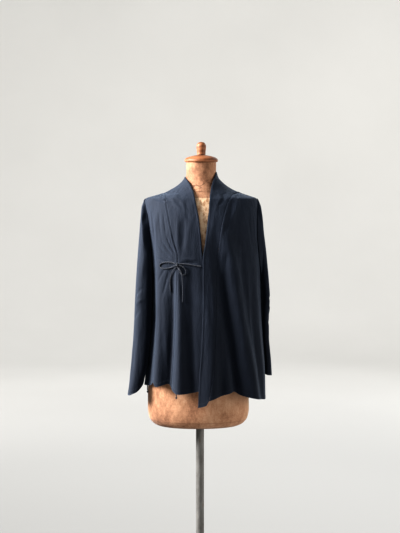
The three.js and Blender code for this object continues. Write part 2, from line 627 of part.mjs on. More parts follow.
const navyCloth = { color: 0x1a2029, roughness: 0.75, metalness: 0 };
const linen = { color: 0xc9986c, roughness: 0.85, metalness: 0 };
const turnedWood = { color: 0xb5703f, roughness: 0.45, metalness: 0 };
const steel = { color: 0x7a7872, roughness: 0.35, metalness: 0.9 };
const castIron = { color: 0x26262a, roughness: 0.6, metalness: 0.7 };

const part = new THREE.Group();
function addPiece(name, geometry, finish, place = [0, 0, 0]) {
  const mesh = new THREE.Mesh(geometry, new THREE.MeshStandardMaterial(finish));
  mesh.name = name;
  mesh.position.set(...place);
  part.add(mesh);
}

addPiece("back", backPanel(21), navyCloth);
addPiece("right_front", frontPanel("right", rightSeam, 11), navyCloth);
addPiece("left_front", frontPanel("left", leftSeam, 14), navyCloth);
addPiece("right_band", joinedBand(bandGrids("right", rightEdge, rightSeam, 9, 6), -1), navyCloth);
addPiece("left_band", joinedBand(bandGrids("band", leftEdge, leftSeam, 5, 6), 1), navyCloth);
addPiece("right_sleeve", sleeveWall(sleeves.right), navyCloth);
addPiece("left_sleeve", sleeveWall(sleeves.left), navyCloth);

addPiece("tie_knot", knot(tieKnot, 4.6, 1.15), navyCloth);
for (const [name, route] of Object.entries(cords)) addPiece(name, cord(route.map(onFront)), navyCloth);
for (const [name, place] of Object.entries(hemKnots)) addPiece(name, knot(place, 3, 1.1), navyCloth);

addPiece("form_torso", formTorso(), linen);
const neckTop = formSections[formSections.length - 1].z + nearSeat;
addPiece("neck_cap", turned(capProfile, 32), turnedWood, [leanAt(neckTop), 0, neckTop]);
const capTop = neckTop + capProfile[capProfile.length - 1][1];
addPiece("finial", turned(finialProfile, 24), turnedWood, [leanAt(neckTop), 0, capTop + nearSeat]);
const poleBottom = footBore.floor + nearSeat;
const poleLength = formSections[0].z - nearSeat - poleBottom;
addPiece(
  "pole",
  new THREE.CylinderGeometry(poleRadius, poleRadius, poleLength, 32).rotateX(Math.PI / 2),
  steel,
  [0, 0, poleBottom + poleLength / 2],
);
const hubTop = footSlope[footSlope.length - 1][1];
const { radius: boreRadius, floor: boreFloor } = footBore;
const footProfile = [[0, 0], ...footSlope, [boreRadius, hubTop], [boreRadius, boreFloor], [0, boreFloor]];
addPiece("foot", turned(footProfile, 40), castIron);

export default part;
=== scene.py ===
"""A long-sleeved wrap bolero of thin navy jersey on a limbless dress form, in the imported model's frame.

Shapes are worked out in millimetres and made in metres. +Z is up, the wearer faces -Y and the wearer's left
is +X. The worn cloth is described by a turn round the body in degrees, 0 at the centre front, +90 at the
wearer's left side and 180 at the centre back, and by a height above the floor.
"""

import math

import bpy
import numpy as np
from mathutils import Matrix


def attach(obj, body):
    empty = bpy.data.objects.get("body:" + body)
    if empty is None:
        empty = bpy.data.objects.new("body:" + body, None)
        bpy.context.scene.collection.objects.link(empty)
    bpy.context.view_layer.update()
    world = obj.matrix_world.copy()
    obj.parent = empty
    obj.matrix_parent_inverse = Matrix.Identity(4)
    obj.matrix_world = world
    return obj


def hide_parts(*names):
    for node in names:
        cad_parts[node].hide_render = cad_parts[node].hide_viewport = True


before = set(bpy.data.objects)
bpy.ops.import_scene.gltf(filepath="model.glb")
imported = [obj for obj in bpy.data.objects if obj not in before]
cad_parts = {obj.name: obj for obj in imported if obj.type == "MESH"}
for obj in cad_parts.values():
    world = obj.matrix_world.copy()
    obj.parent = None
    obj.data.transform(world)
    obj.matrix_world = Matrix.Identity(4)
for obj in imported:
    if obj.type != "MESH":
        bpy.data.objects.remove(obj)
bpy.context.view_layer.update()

MM = 0.001
scene = bpy.context.scene
scene.view_settings.view_transform = "Standard"
scene.view_settings.look = "High Contrast"


# ----------------------------------------------------------------------------------------- camera and lights
def add_object(name, data):
    """A new object in the scene, at the origin."""
    made = bpy.data.objects.new(name, data)
    scene.collection.objects.link(made)
    return made


camera = add_object("camera", bpy.data.cameras.new("camera"))
camera.data.lens = 77.44
camera.data.sensor_width = 36
camera.data.clip_end = 60
camera.location = (0, -3.6, 1.56)
camera.rotation_euler = (math.radians(90 - 4.606), 0, 0)
scene.camera = camera


def area_light(name, place, aim, size, power, colour):
    """A square soft light at a place, turned to face a point."""
    lamp = bpy.data.lights.new(name, "AREA")
    lamp.size, lamp.energy, lamp.color = size, power, colour
    made = add_object(name, lamp)
    made.location = place
    away = np.subtract(place, aim)
    across = math.hypot(away[0], away[1])
    made.rotation_euler = (math.atan2(across, away[2]), 0, math.atan2(away[0], -away[1]))


area_light("window", (-2.95, -0.56, 2.75), (0, 0, 1.2), 1.6, 550, (1.0, 0.985, 0.97))
area_light("skylight", (-1.2, -1.5, 3.1), (0, 0, 1.4), 1.2, 11, (0.90, 0.95, 1.0))
area_light("far_wall", (3.4, -1.2, 1.5), (0, 0, 1.2), 2.6, 68, (1.0, 0.97, 0.93))
area_light("behind", (2.4, 3.6, 3.0), (0, 0, 1.2), 3.0, 60, (0.95, 0.97, 1.0))
world = bpy.data.worlds.new("room")
scene.world = world
world.use_nodes = True
world.node_tree.nodes["Background"].inputs["Color"].default_value = (0.84, 0.91, 1.0, 1)
world.node_tree.nodes["Background"].inputs["Strength"].default_value = 0.15


# -------------------------------------------------------------------------------------------------- finishes
class Value:
    """A socket of a finish's node tree. Arithmetic on it adds Math nodes."""

    def __init__(self, finish, socket):
        self.finish, self.socket = finish, socket

    def maths(self, operation, *others):
        inputs = dict(enumerate((self, *others)))
        return self.finish.node("ShaderNodeMath", {"operation": operation}, inputs)

    def __add__(self, other):
        return self.maths("ADD", other)

    __radd__ = __add__

    def __mul__(self, other):
        return self.maths("MULTIPLY", other)

    __rmul__ = __mul__

    def __sub__(self, other):
        return self.maths("SUBTRACT", other)

    def wave(self, pitch):
        """A sine of this value, one turn for each pitch."""
        return (self * (2 * math.pi / pitch)).maths("SINE")

    def step(self, low, high):
        """0 below low and 1 above high, smooth between; high below low turns it round."""
        ends = {"From Min": min(low, high), "From Max": max(low, high)}
        ends |= {"To Min": 0, "To Max": 1} if low < high else {"To Min": 1, "To Max": 0}
        settings = {"interpolation_type": "SMOOTHSTEP"}
        return self.finish.node("ShaderNodeMapRange", settings, {"Value": self, **ends})

    def bell(self, middle, width):
        """1 at a middle, falling to 0 at a width on each side."""
        return (self - middle).maths("ABSOLUTE").step(width, 0)


class Finish:
    """A procedural material. Its nodes come from one method; varying values reach only sockets that bake."""

    def __init__(self, name):
        self.material = bpy.data.materials.new(name)
        self.material.use_nodes = True
        self.nodes, self.links = self.material.node_tree.nodes, self.material.node_tree.links
        self.nodes.clear()

    def node(self, kind, settings=None, inputs=None, output=0):
        """A node with its settings, and its inputs linked from values or set to constants."""
        made = self.nodes.new(kind)
        for key, value in (settings or {}).items():
            if key == "stops":
                ramp = made.color_ramp.elements
                while len(ramp) < len(value):
                    ramp.new(0.5)
                for stop, (place, colour) in zip(ramp, value):
                    stop.position, stop.color = place, (*colour, 1)
            else:
                setattr(made, key, value)
        for key, value in (inputs or {}).items():
            if isinstance(value, Value):
                self.links.new(value.socket, made.inputs[key])
            else:
                made.inputs[key].default_value = value
        return Value(self, made.outputs[output])

    def place(self, stretch=(1, 1, 1)):
        """Object coordinates in metres, stretched along each axis."""
        where = self.node("ShaderNodeTexCoord", output="Object")
        return self.node("ShaderNodeMapping", {}, {"Vector": where, "Scale": stretch})

    def axis(self, letter, where=None):
        """One coordinate of a vector, or of the object's own."""
        inputs = {"Vector": self.place() if where is None else where}
        return self.node("ShaderNodeSeparateXYZ", {}, inputs, output=letter)

    def noise(self, where, scale, detail=3, roughness=0.5):
        inputs = {"Vector": where, "Scale": scale, "Detail": detail, "Roughness": roughness}
        return self.node("ShaderNodeTexNoise", {}, inputs)

    def attribute(self, name):
        """A value kept at each point of the mesh, in metres."""
        return self.node("ShaderNodeAttribute", {"attribute_name": name}, output="Fac")

    def blend(self, share, first, second):
        """One colour passing into another as a share goes from 0 to 1."""
        sockets = {0: share, 6: first, 7: second}
        return self.node("ShaderNodeMix", {"data_type": "RGBA"}, sockets, output=2)

    def ramp(self, share, *stops):
        """Colours passing into each other at places along a share."""
        return self.node("ShaderNodeValToRGB", {"stops": stops}, {"Fac": share})

    def shade(self, colour, roughness, height=None, relief=1.0, **constants):
        """Finishes the material: a height in metres becomes bump, and constants are set on the shader."""
        sockets = {"Base Color": colour, "Roughness": roughness}
        if height is not None:
            inputs = {"Height": height, "Distance": 1.0, "Strength": relief}
            sockets["Normal"] = self.node("ShaderNodeBump", {}, inputs)
        sockets |= {key.replace("_", " "): value for key, value in constants.items()}
        shader = self.node("ShaderNodeBsdfPrincipled", {}, sockets)
        out = self.nodes.new("ShaderNodeOutputMaterial")
        self.links.new(shader.socket, out.inputs["Surface"])
        return self.material


def navy_jersey():
    """Thin washed jersey: fine knit rows, soft slubs and rumples, stitched hems and felled seams. It is paler
    at worn edges, and painted light makes it slowly paler towards the shoulders, as if lit from above."""
    f = Finish("navy_jersey")
    spread = f.node("ShaderNodeUVMap", {"uv_map": "cloth"})
    across, along = (f.axis(letter, spread) for letter in "XY")
    hem, seam = f.attribute("hem"), f.attribute("seam")
    height_up = f.axis("Z")
    stretched = f.node("ShaderNodeMapping", {}, {"Vector": spread, "Scale": (1, 0.25, 1)})
    slub = f.noise(stretched, 420, 2)
    cloudy = f.noise(f.place(), 9, 3)
    faded = f.noise(f.place((1, 1, 0.35)), 46, 4, 0.6)
    rumpled = f.noise(f.place((1, 1, 0.22)), 62, 3, 0.55)
    knit = across.wave(0.0014) * (along.wave(0.0019) * 0.5 + 0.5)
    on_hem = hem.bell(0.0115, 0.0011)
    on_fell = seam.bell(0.0062, 0.0010) * height_up.step(1.480, 1.462)
    on_seam = seam.step(0.0016, 0.0)
    stitch = (along + across).wave(0.0034).step(-0.3, 0.4)
    stitch_hem = across.wave(0.0034).step(-0.3, 0.4)
    height = knit * 0.00009 + slub * 0.0004 + faded * 0.0012 + rumpled * 0.0030
    height = height - on_hem * (0.0004 + stitch_hem * 0.0003)
    height = height - on_fell * (0.0004 + stitch * 0.0002) - on_seam * 0.0004
    # The noises are the jersey's own uneven tone; the height term is painted light, paler the higher it is.
    wear_and_painted_light = cloudy * 0.45 + faded * 0.35 + slub * 0.2 + (height_up - 1.18) * 0.60
    colour = f.ramp(
        wear_and_painted_light,
        (0.30, (0.0034, 0.0054, 0.0112)),
        (0.52, (0.0056, 0.0084, 0.0156)),
        (0.75, (0.0108, 0.0148, 0.0246)),
    )
    thread = on_hem * stitch_hem + on_fell * stitch * 0.4
    colour = f.blend(hem.step(0.0035, 0.0) * 0.4, colour, (0.036, 0.043, 0.058, 1))
    colour = f.blend(thread * 0.22, colour, (0.040, 0.048, 0.064, 1))
    sheen = {"Sheen_Weight": 0.17, "Sheen_Roughness": 0.52, "Sheen_Tint": (0.60, 0.74, 0.95, 1)}
    return f.shade(colour, 0.73 + slub * 0.12, height, 0.8, Specular_IOR_Level=0.18, **sheen)


def navy_cord():
    """A thin tube of the same jersey, turned inside out: fine slanting ribs."""
    f = Finish("navy_cord")
    rib = (f.axis("X") * 0.7 + f.axis("Z")).wave(0.0012)
    cloudy = f.noise(f.place(), 160, 2)
    colour = f.ramp(cloudy, (0.3, (0.0075, 0.0100, 0.0165)), (0.7, (0.0135, 0.0175, 0.0270)))
    sheen = {"Sheen_Weight": 0.22}
    return f.shade(colour, 0.78 + cloudy * 0.1, rib * 0.00008, 0.8, Specular_IOR_Level=0.3, **sheen)


def aged_linen():
    """Tan cover of an old dress form: close weave and soft stains, rubbed pale in patches on the chest, with
    dark seams, streaks and cracks at the neck and a dark bottom rim. Painted light makes it paler to the
    wearer's left, the side away from the window lamp, and it is a little darker up the neck."""
    f = Finish("aged_linen")
    height_up, aside = f.axis("Z"), f.axis("X")
    stains = f.noise(f.place((1, 1, 0.55)), 11, 5, 0.62)
    flecks = f.noise(f.place((1, 1, 0.6)), 95, 4, 0.65)
    specks = f.noise(f.place(), 240, 2)
    broken = f.noise(f.place((1, 1, 2)), 30, 2)
    # Own tone from stains, flecks and specks; the x term is painted light, paler to the wearer's left; darker
    # up the neck.
    stains_and_painted_light = stains * 0.55 + flecks * 0.30 + specks * 0.15 + aside * 0.5 - height_up.step(1.47, 1.53) * 0.06
    weave = aside.wave(0.0016) * height_up.wave(0.0016)
    colour = f.ramp(
        stains_and_painted_light,
        (0.34, (0.15, 0.070, 0.038)),
        (0.44, (0.27, 0.142, 0.082)),
        (0.53, (0.37, 0.210, 0.127)),
        (0.66, (0.47, 0.305, 0.202)),
    )
    rim = height_up.step(0.776, 0.764)
    chest = height_up.step(1.24, 1.40) * height_up.step(1.490, 1.486) * 0.75
    patches = f.ramp(
        flecks * 0.7 + stains * 0.3,
        (0.40, (0.34, 0.19, 0.10)),
        (0.49, (0.62, 0.44, 0.29)),
        (0.58, (0.74, 0.58, 0.41)),
    )
    colour = f.blend(chest, colour, patches)
    seam = height_up.bell(1.506, 0.0020) + height_up.bell(1.488, 0.0018) * 0.9
    seam = seam + height_up.bell(1.470, 0.0012) * 0.4
    lower = height_up.bell(0.7885, 0.0016)
    colour = f.blend(rim * 0.8 + (seam + lower) * 0.45, colour, (0.10, 0.042, 0.018, 1))
    cells = f.node(
        "ShaderNodeTexVoronoi",
        {"feature": "DISTANCE_TO_EDGE"},
        {"Vector": f.place((1, 1, 1.8)), "Scale": 38},
        output="Distance",
    )
    cracks = (cells + flecks * 0.08).step(0.125, 0.080)
    cracks = cracks * height_up.bell(1.526, 0.026) * broken.step(0.42, 0.50)
    streaks = f.noise(f.place((1, 1, 0.12)), 170, 3, 0.6).step(0.56, 0.70) * height_up.step(1.49, 1.52)
    colour = f.blend(cracks * 0.85 + streaks * 0.4, colour, (0.10, 0.045, 0.024, 1))
    relief = weave * 0.00012 + flecks * 0.0016 + stains * 0.003 - seam * 0.0008 - lower * 0.0006
    sheen = {"Sheen_Weight": 0.08}
    return f.shade(colour, 0.70 + flecks * 0.2, relief, 0.7, Specular_IOR_Level=0.3, **sheen)


def turned_wood():
    """Waxed red-brown wood: fine upright grain over broad rings."""
    f = Finish("turned_wood")
    grain = f.noise(f.place((1, 1, 0.12)), 260, 4, 0.6)
    broad = f.noise(f.place((1, 1, 0.4)), 30, 3)
    rings = f.node(
        "ShaderNodeTexWave",
        {"wave_type": "RINGS", "rings_direction": "X"},
        {"Vector": f.place(), "Scale": 26, "Distortion": 5, "Detail": 2},
        output="Fac",
    )
    shade = grain * 0.4 + broad * 0.35 + rings * 0.25
    colour = f.ramp(
        shade,
        (0.28, (0.10, 0.035, 0.014)),
        (0.50, (0.185, 0.072, 0.030)),
        (0.75, (0.27, 0.122, 0.058)),
    )
    return f.shade(colour, 0.46 + grain * 0.22, grain * 0.0006, 0.6, Specular_IOR_Level=0.35)


def worn_steel():
    """A bare steel tube: drawn lengthwise, dull, with brown bloom."""
    f = Finish("worn_steel")
    drawn = f.noise(f.place((1, 1, 0.02)), 700, 3)
    bloom = f.noise(f.place((1, 1, 0.5)), 34, 5, 0.65)
    colour = f.ramp(
        bloom,
        (0.35, (0.10, 0.095, 0.088)),
        (0.60, (0.17, 0.167, 0.16)),
        (0.80, (0.13, 0.09, 0.06)),
    )
    return f.shade(colour, 0.46 + bloom * 0.3, drawn * 0.0002, 0.5, Metallic=0.6)


def painted_iron():
    """Sand-cast iron under old black paint that is chipped through to brown."""
    f = Finish("painted_iron")
    sand = f.noise(f.place(), 330, 4, 0.6)
    chips = f.noise(f.place(), 24, 5, 0.7)
    colour = f.ramp(
        chips,
        (0.40, (0.018, 0.018, 0.020)),
        (0.68, (0.035, 0.034, 0.034)),
        (0.78, (0.11, 0.075, 0.05)),
    )
    return f.shade(colour, 0.58 + sand * 0.25, sand * 0.0009, 0.7, Metallic=0.1)


def pale_plaster():
    """The room's plain floor and wall. It glows softly behind the wearer and less in front, and the floor is
    a darker grey, with painted shade round the form and under the window lamp, where its light falls."""
    f = Finish("pale_plaster")
    broad = f.noise(f.place(), 0.8, 3)
    x, y, z = (f.axis(letter) for letter in "XYZ")
    outward = (x * x + y * y).maths("SQRT")
    ground = z.step(1.0, 0.0) * outward.step(5.5, 2.5)
    near = outward.step(3.4, 0.4) * ground
    from_lamp = x + 2.5
    painted_shade_under_lamp = (from_lamp * from_lamp + y * y).maths("SQRT").step(4.2, 0.6) * ground
    colour = f.ramp(broad, (0.3, (0.44, 0.435, 0.42)), (0.7, (0.48, 0.475, 0.46)))
    colour = f.blend(ground, colour, (0.27, 0.27, 0.265, 1))
    # Painted shade on the floor: darker round the form and where the window lamp's light falls under it.
    colour = f.blend(near * 0.4, colour, (0.13, 0.13, 0.13, 1))
    colour = f.blend(painted_shade_under_lamp * 0.9, colour, (0.045, 0.045, 0.044, 1))
    glow = f.blend(y.step(-7.5, 0.5), (0.34, 0.34, 0.335, 1), (0.94, 0.927, 0.89, 1))
    glow = f.blend(ground * 0.25 + near * 0.25, glow, (0.12, 0.12, 0.12, 1))
    glowing = {"Emission_Color": glow, "Emission_Strength": 0.285}
    return f.shade(colour, 0.9, Specular_IOR_Level=0.1, **glowing)


jersey, cord_cloth, linen = navy_jersey(), navy_cord(), aged_linen()
wood, steel, iron, plaster = turned_wood(), worn_steel(), painted_iron(), pale_plaster()


# -------------------------------------------------------------------------------------------- the worn cloth
def table(columns, *rows):
    """Rows of numbers as named columns."""
    return dict(zip(columns.split(), np.array(rows, float).T))


def smooth(rows, key, column, value):
    """A monotone cubic through a table's column. Slopes are harmonic means of the rises on the two sides, and
    0 where the rises turn, so nothing overshoots."""
    order = np.argsort(rows[key])
    x, y = rows[key][order], rows[column][order]
    rise = np.diff(y) / np.diff(x)
    before, after = rise[:-1], rise[1:]
    both = np.where(before * after > 0, before + after, 1)
    slope = np.concatenate([rise[:1], np.where(before * after > 0, 2 * before * after / both, 0), rise[-1:]])
    v = np.clip(value, x[0], x[-1])
    i = np.clip(np.searchsorted(x, v, side="right") - 1, 0, len(x) - 2)
    span = x[i + 1] - x[i]
    s = (v - x[i]) / span
    keep = (1 + 2 * s) * (1 - s) ** 2
    return keep * y[i] + (1 - keep) * y[i + 1] + span * s * (1 - s) * ((1 - s) * slope[i] - s * slope[i + 1])


def smooth_step(share):
    """0 below 0 and 1 above 1, smooth between."""
    s = np.clip(share, 0, 1)
    return s * s * (3 - 2 * s)


def mix(a, b, share):
    """A value a share of the way from one to another."""
    return a + (b - a) * share


THICKNESS = 1.4  # of the cloth
SEAM_GAP = 0.12  # between two pieces of cloth at their seam
COLLAR_TOP, NECK_SEAM, SHOULDER_TIP, UNDERARM, HEM_LEVEL = 1559, 1506, 1484, 1286, 875
COLLAR_TILT = 8  # the collar stands higher on the wearer's left and lower on the right, by this much
HEM_SWAY_TOP = 1120  # above this the rows of the cloth are level
ARMHOLE_MIDDLE, ARMHOLE_HALF = (SHOULDER_TIP + UNDERARM) / 2, (SHOULDER_TIP - UNDERARM) / 2
ARMHOLE_FRONT, ARMHOLE_BACK = 16, 24  # degrees that the armhole goes before and behind the side
FOLD_GROWTH = 0.8  # below 1 a fold deepens quickly below its start
FOLD_BULGE = 0.6  # and the more, the deeper the folds are halfway down
FOLDS_END = 1.05  # below the hem the folds deepen no further, as a share of the way down to it
FRONT_TIP_CUT = 0.15  # share of a front's first row that is left out, where its seams run together
MM_PER_DEGREE = 2.3  # along the unrolled cloth
MOST_SLANT, MOST_INSET, HALVINGS = 5, 3, 16
NEWTON_STEPS, TURN_STEP, LEAST_SPEED = 6, 0.5, 0.5
NORMAL_STEP = 0.4
WALL_SHARP, TURNED_SHARP, FORM_SHARP = 48, 40, 50  # degrees above which an edge is drawn sharp
ROWS = {"collar": 22, "shoulder": 9, "armhole": 72, "skirt": 150}

# Low relief along a piece's edges, in millimetres. Creases fade out towards the seams and the hem. The cloth
# dips into a seam, and stands up over a felled seam's allowance, over a hem's and at a front's free edge.
CREASE_FADE_SEAM, CREASE_FADE_HEM = 6, 5
SEAM_DIP, SEAM_DIP_WIDTH = 0.5, 2.0
FELL_RISE, FELL_REACH, FELL_SOFT = 0.55, 7.4, 1.6
HEM_RISE, HEM_REACH, HEM_SOFT = 0.35, 12.5, 2.0
RIM_RISE, RIM_MIDDLE, RIM_WIDTH = 0.9, 3.0, 3.0
FAR_FROM_SEAM, FAR_FROM_HEM = 50.0, 60.0
CREASE_END = 0.35  # share of a crease's length over which it fades in, and out again

# The smooth body under the folds: its reach to each side, its depth before and behind, and the power of the
# cosine that its depth follows, by height.
BODY = table(
    "z right left front back pointed",
    (1575, 47, 50.5, 52, 54, 1.0), (1551, 48, 57, 55, 58, 1.0), (1542, 53, 63.5, 57, 61, 1.05),
    (1528, 67, 79, 62, 67, 1.15), (1514, 89, 100, 69, 75, 1.3), (1502, 113, 128, 76, 83, 1.35),
    (1493, 145, 155, 81, 88, 1.33), (1484, 170.5, 178, 86.5, 93.5, 1.27), (1475, 174, 182, 90.5, 97.5, 1.2),
    (1466, 173.5, 183, 94, 101, 1.14),
    (1431, 168, 184, 105, 109, 0.95), (1373, 161, 185, 114, 113, 0.85), (1315, 154, 187, 118, 113, 0.85),
    (1250, 151, 189, 120, 112, 0.85), (1134, 152, 193, 127, 117, 0.85), (1039, 160, 199, 133, 127, 0.85),
    (944, 171, 206, 142, 141, 0.85), (850, 181, 208, 151, 155, 0.85),
)
# The deep folds: the height where each starts, its turns there and at the hem, its depth (below 0 a groove)
# and its widths there and at the hem.
FOLDS = table(
    "start start_turn hem_turn depth start_width hem_width",
    (1300, -26, -20, 17, 5, 8), (1300, -35, -35, -16, 5, 6.5), (1380, -58, -47, 12, 9, 8),
    (1280, -74, -66, -7, 7, 8), (1320, -11, -7, -8, 6, 6), (1340, 13, 9, 6, 6, 6),
    (1400, 13, 35, -18, 6, 7), (1470, 21, 51, 22, 7.5, 9.5), (1130, 16, 19, -6, 4, 4.5),
    (1130, 22, 27, 6, 4, 4.5), (1320, 64, 70, 6, 6, 6), (1440, 114, 116, -30, 12, 13),
    (1350, 142, 145, 14, 7, 8), (1350, 160, 162, -12, 7, 8), (1370, 178, 180, 15, 8, 9),
    (1350, -162, -160, -13, 7, 8), (1330, -144, -140, 15, 8, 9), (1310, -118, -116, -12, 10, 10),
)
LAP_LIFT, LAP_FULL_BELOW, LAP_NONE_ABOVE = 4.6, 1320, 1400
LAP_FULL_INSIDE, LAP_NONE_OUTSIDE = 13, 27

# The hem's height by turn. The left front's edge band has its own.
HEMS = {
    "right": table(
        "turn z",
        (-90, 896), (-66, 904), (-54, 917), (-47, 907), (-37, 916), (-30, 900), (-20, 891), (-9, 893),
        (0, 899), (9, 904),
    ),
    "left": table("turn z", (7.2, 871), (19, 884), (32, 893), (39, 881), (55, 867), (90, 850)),
    "band": table("turn z", (-2, 849), (5, 857), (7.2, 871)),
    "back": table(
        "turn z", (90, 850), (120, 866), (150, 862), (180, 868), (210, 866), (240, 882), (270, 896),
    ),
}
# Free edges and seams of the fronts: the distance to the wearer's left of the centre, by true height.
RIGHT_EDGE = table(
    "z x",
    (1575, -47), (1551, -46), (1537, -36), (1521, -27), (1503, -19), (1466, -11), (1431, -4), (1373, 3),
    (1315, 8), (1270, 17), (1180, 24), (875, 26),
)
LEFT_EDGE = table(
    "z x",
    (1575, 52), (1564, 50), (1531, 38), (1503, 31), (1454, 27), (1408, 22), (1350, 15), (1300, 8),
    (1208, 8), (1071, 5), (994, 1), (934, -3), (850, -6),
)
RIGHT_SEAM = table(
    "z x",
    (1505, -125), (1497, -109), (1471, -105), (1414, -94), (1357, -81), (1308, -69), (1269, -69),
    (1178, -71), (1117, -75), (1025, -82), (950, -90), (875, -98),
)
LEFT_SEAM = table(
    "z x",
    (1505, 135), (1497, 102), (1454, 79), (1385, 62), (1306, 54), (1293, 52), (1177, 50), (1055, 46),
    (964, 41), (904, 33), (870, 26),
)


def fold_depth(turn, z):
    """Sum over the folds of a bell across the cloth, whose depth and width grow from its start down."""
    total = np.zeros(np.broadcast(turn, z).shape)
    for i in range(len(FOLDS["start"])):
        f = {key: values[i] for key, values in FOLDS.items()}
        down = np.clip((f["start"] - z) / (f["start"] - HEM_LEVEL), 0, FOLDS_END)
        away = (turn - mix(f["start_turn"], f["hem_turn"], down) + 540) % 360 - 180
        width = mix(f["start_width"], f["hem_width"], down)
        deepened = down**FOLD_GROWTH * (1 + FOLD_BULGE * (1 - down))
        total = total + f["depth"] * deepened * np.exp(-((away / width) ** 2))
    return total


def lap_lift(turn, z):
    """How far the left front stands off the right one: full near the centre and below the chest."""
    across = 1 - smooth_step((turn - LAP_FULL_INSIDE) / (LAP_NONE_OUTSIDE - LAP_FULL_INSIDE))
    down = 1 - smooth_step((z - LAP_FULL_BELOW) / (LAP_NONE_ABOVE - LAP_FULL_BELOW))
    return LAP_LIFT * across * down


def by_side(past, one, other, z):
    """A column of the body's table where a test holds, and another where it doesn't."""
    return np.where(past, smooth(BODY, "z", one, z), smooth(BODY, "z", other, z))


def body_form(turn, z):
    """A point of the smooth body, an oval of its own reach on each side whose depth is a power of the cosine,
    and the way out."""
    s, c = np.sin(np.radians(turn)), np.cos(np.radians(turn))
    across, deep = by_side(s < 0, "right", "left", z), by_side(c > 0, "front", "back", z)
    y = -deep * np.sign(c) * np.abs(c) ** smooth(BODY, "z", "pointed", z)
    point = np.stack(np.broadcast_arrays(across * s, y, z), -1)
    out = np.stack(np.broadcast_arrays(deep * s, -across * c, np.zeros_like(y)), -1)
    return point, out / np.linalg.norm(out, axis=-1, keepdims=True)


def lift_of(turn, z, layer):
    """How far a layer of the cloth stands off the smooth body."""
    return fold_depth(turn, z) + (lap_lift(turn, z) if layer in ("left", "band") else 0)


def cloth_point(turn, z, layer, away=0.0):
    """A point at a turn and a height, a distance away from the worn cloth's outer face."""
    turn, z = np.broadcast_arrays(np.asarray(turn, float), np.asarray(z, float))
    point, out = body_form(turn, z)
    return point + out * (lift_of(turn, z, layer) + away)[..., None]


def place_of(point, layer):
    """The turn at which points lie and their distance from the cloth: Newton's steps along the surface."""
    x, y, z = np.moveaxis(point, -1, 0)
    across, deep = by_side(x < 0, "right", "left", z), by_side(y < 0, "front", "back", z)
    turn = np.degrees(np.arctan2(x / across, -y / deep))
    off = np.zeros_like(turn)

    def reached(d):
        base, out = body_form(turn + d, z)
        return base + off[..., None] * out

    for _ in range(NEWTON_STEPS):
        base, out = body_form(turn, z)
        left = point - base
        along = np.stack([-out[..., 1], out[..., 0], np.zeros_like(turn)], -1)
        off = (left * out).sum(-1)
        speed = ((reached(TURN_STEP) - reached(-TURN_STEP)) * along).sum(-1)
        turn = turn + (left * along).sum(-1) / np.maximum(speed, LEAST_SPEED)
    return turn, off - lift_of(turn, z, layer)


def row_height(level, turn, layer):
    """The height of the row nominally at a level: the hem's sway fades upwards, and the collar tilts."""
    hem_turn = np.where((layer == "back") & (turn < 0), turn + 360, turn)
    sway = np.maximum(0, (HEM_SWAY_TOP - level) / (HEM_SWAY_TOP - HEM_LEVEL)) ** 2
    up = np.maximum(0, (level - SHOULDER_TIP) / (COLLAR_TOP - SHOULDER_TIP))
    tilt = up * COLLAR_TILT * np.sin(np.radians(turn))
    return level + sway * (smooth(HEMS[layer], "turn", "z", hem_turn) - HEM_LEVEL) + tilt


def turn_at(x, z):
    """The turn at which the cloth lies a distance to the wearer's left of the centre."""
    across = by_side(np.asarray(x) < 0, "right", "left", z)
    return np.degrees(np.arcsin(np.clip(x / across, -1, 1)))


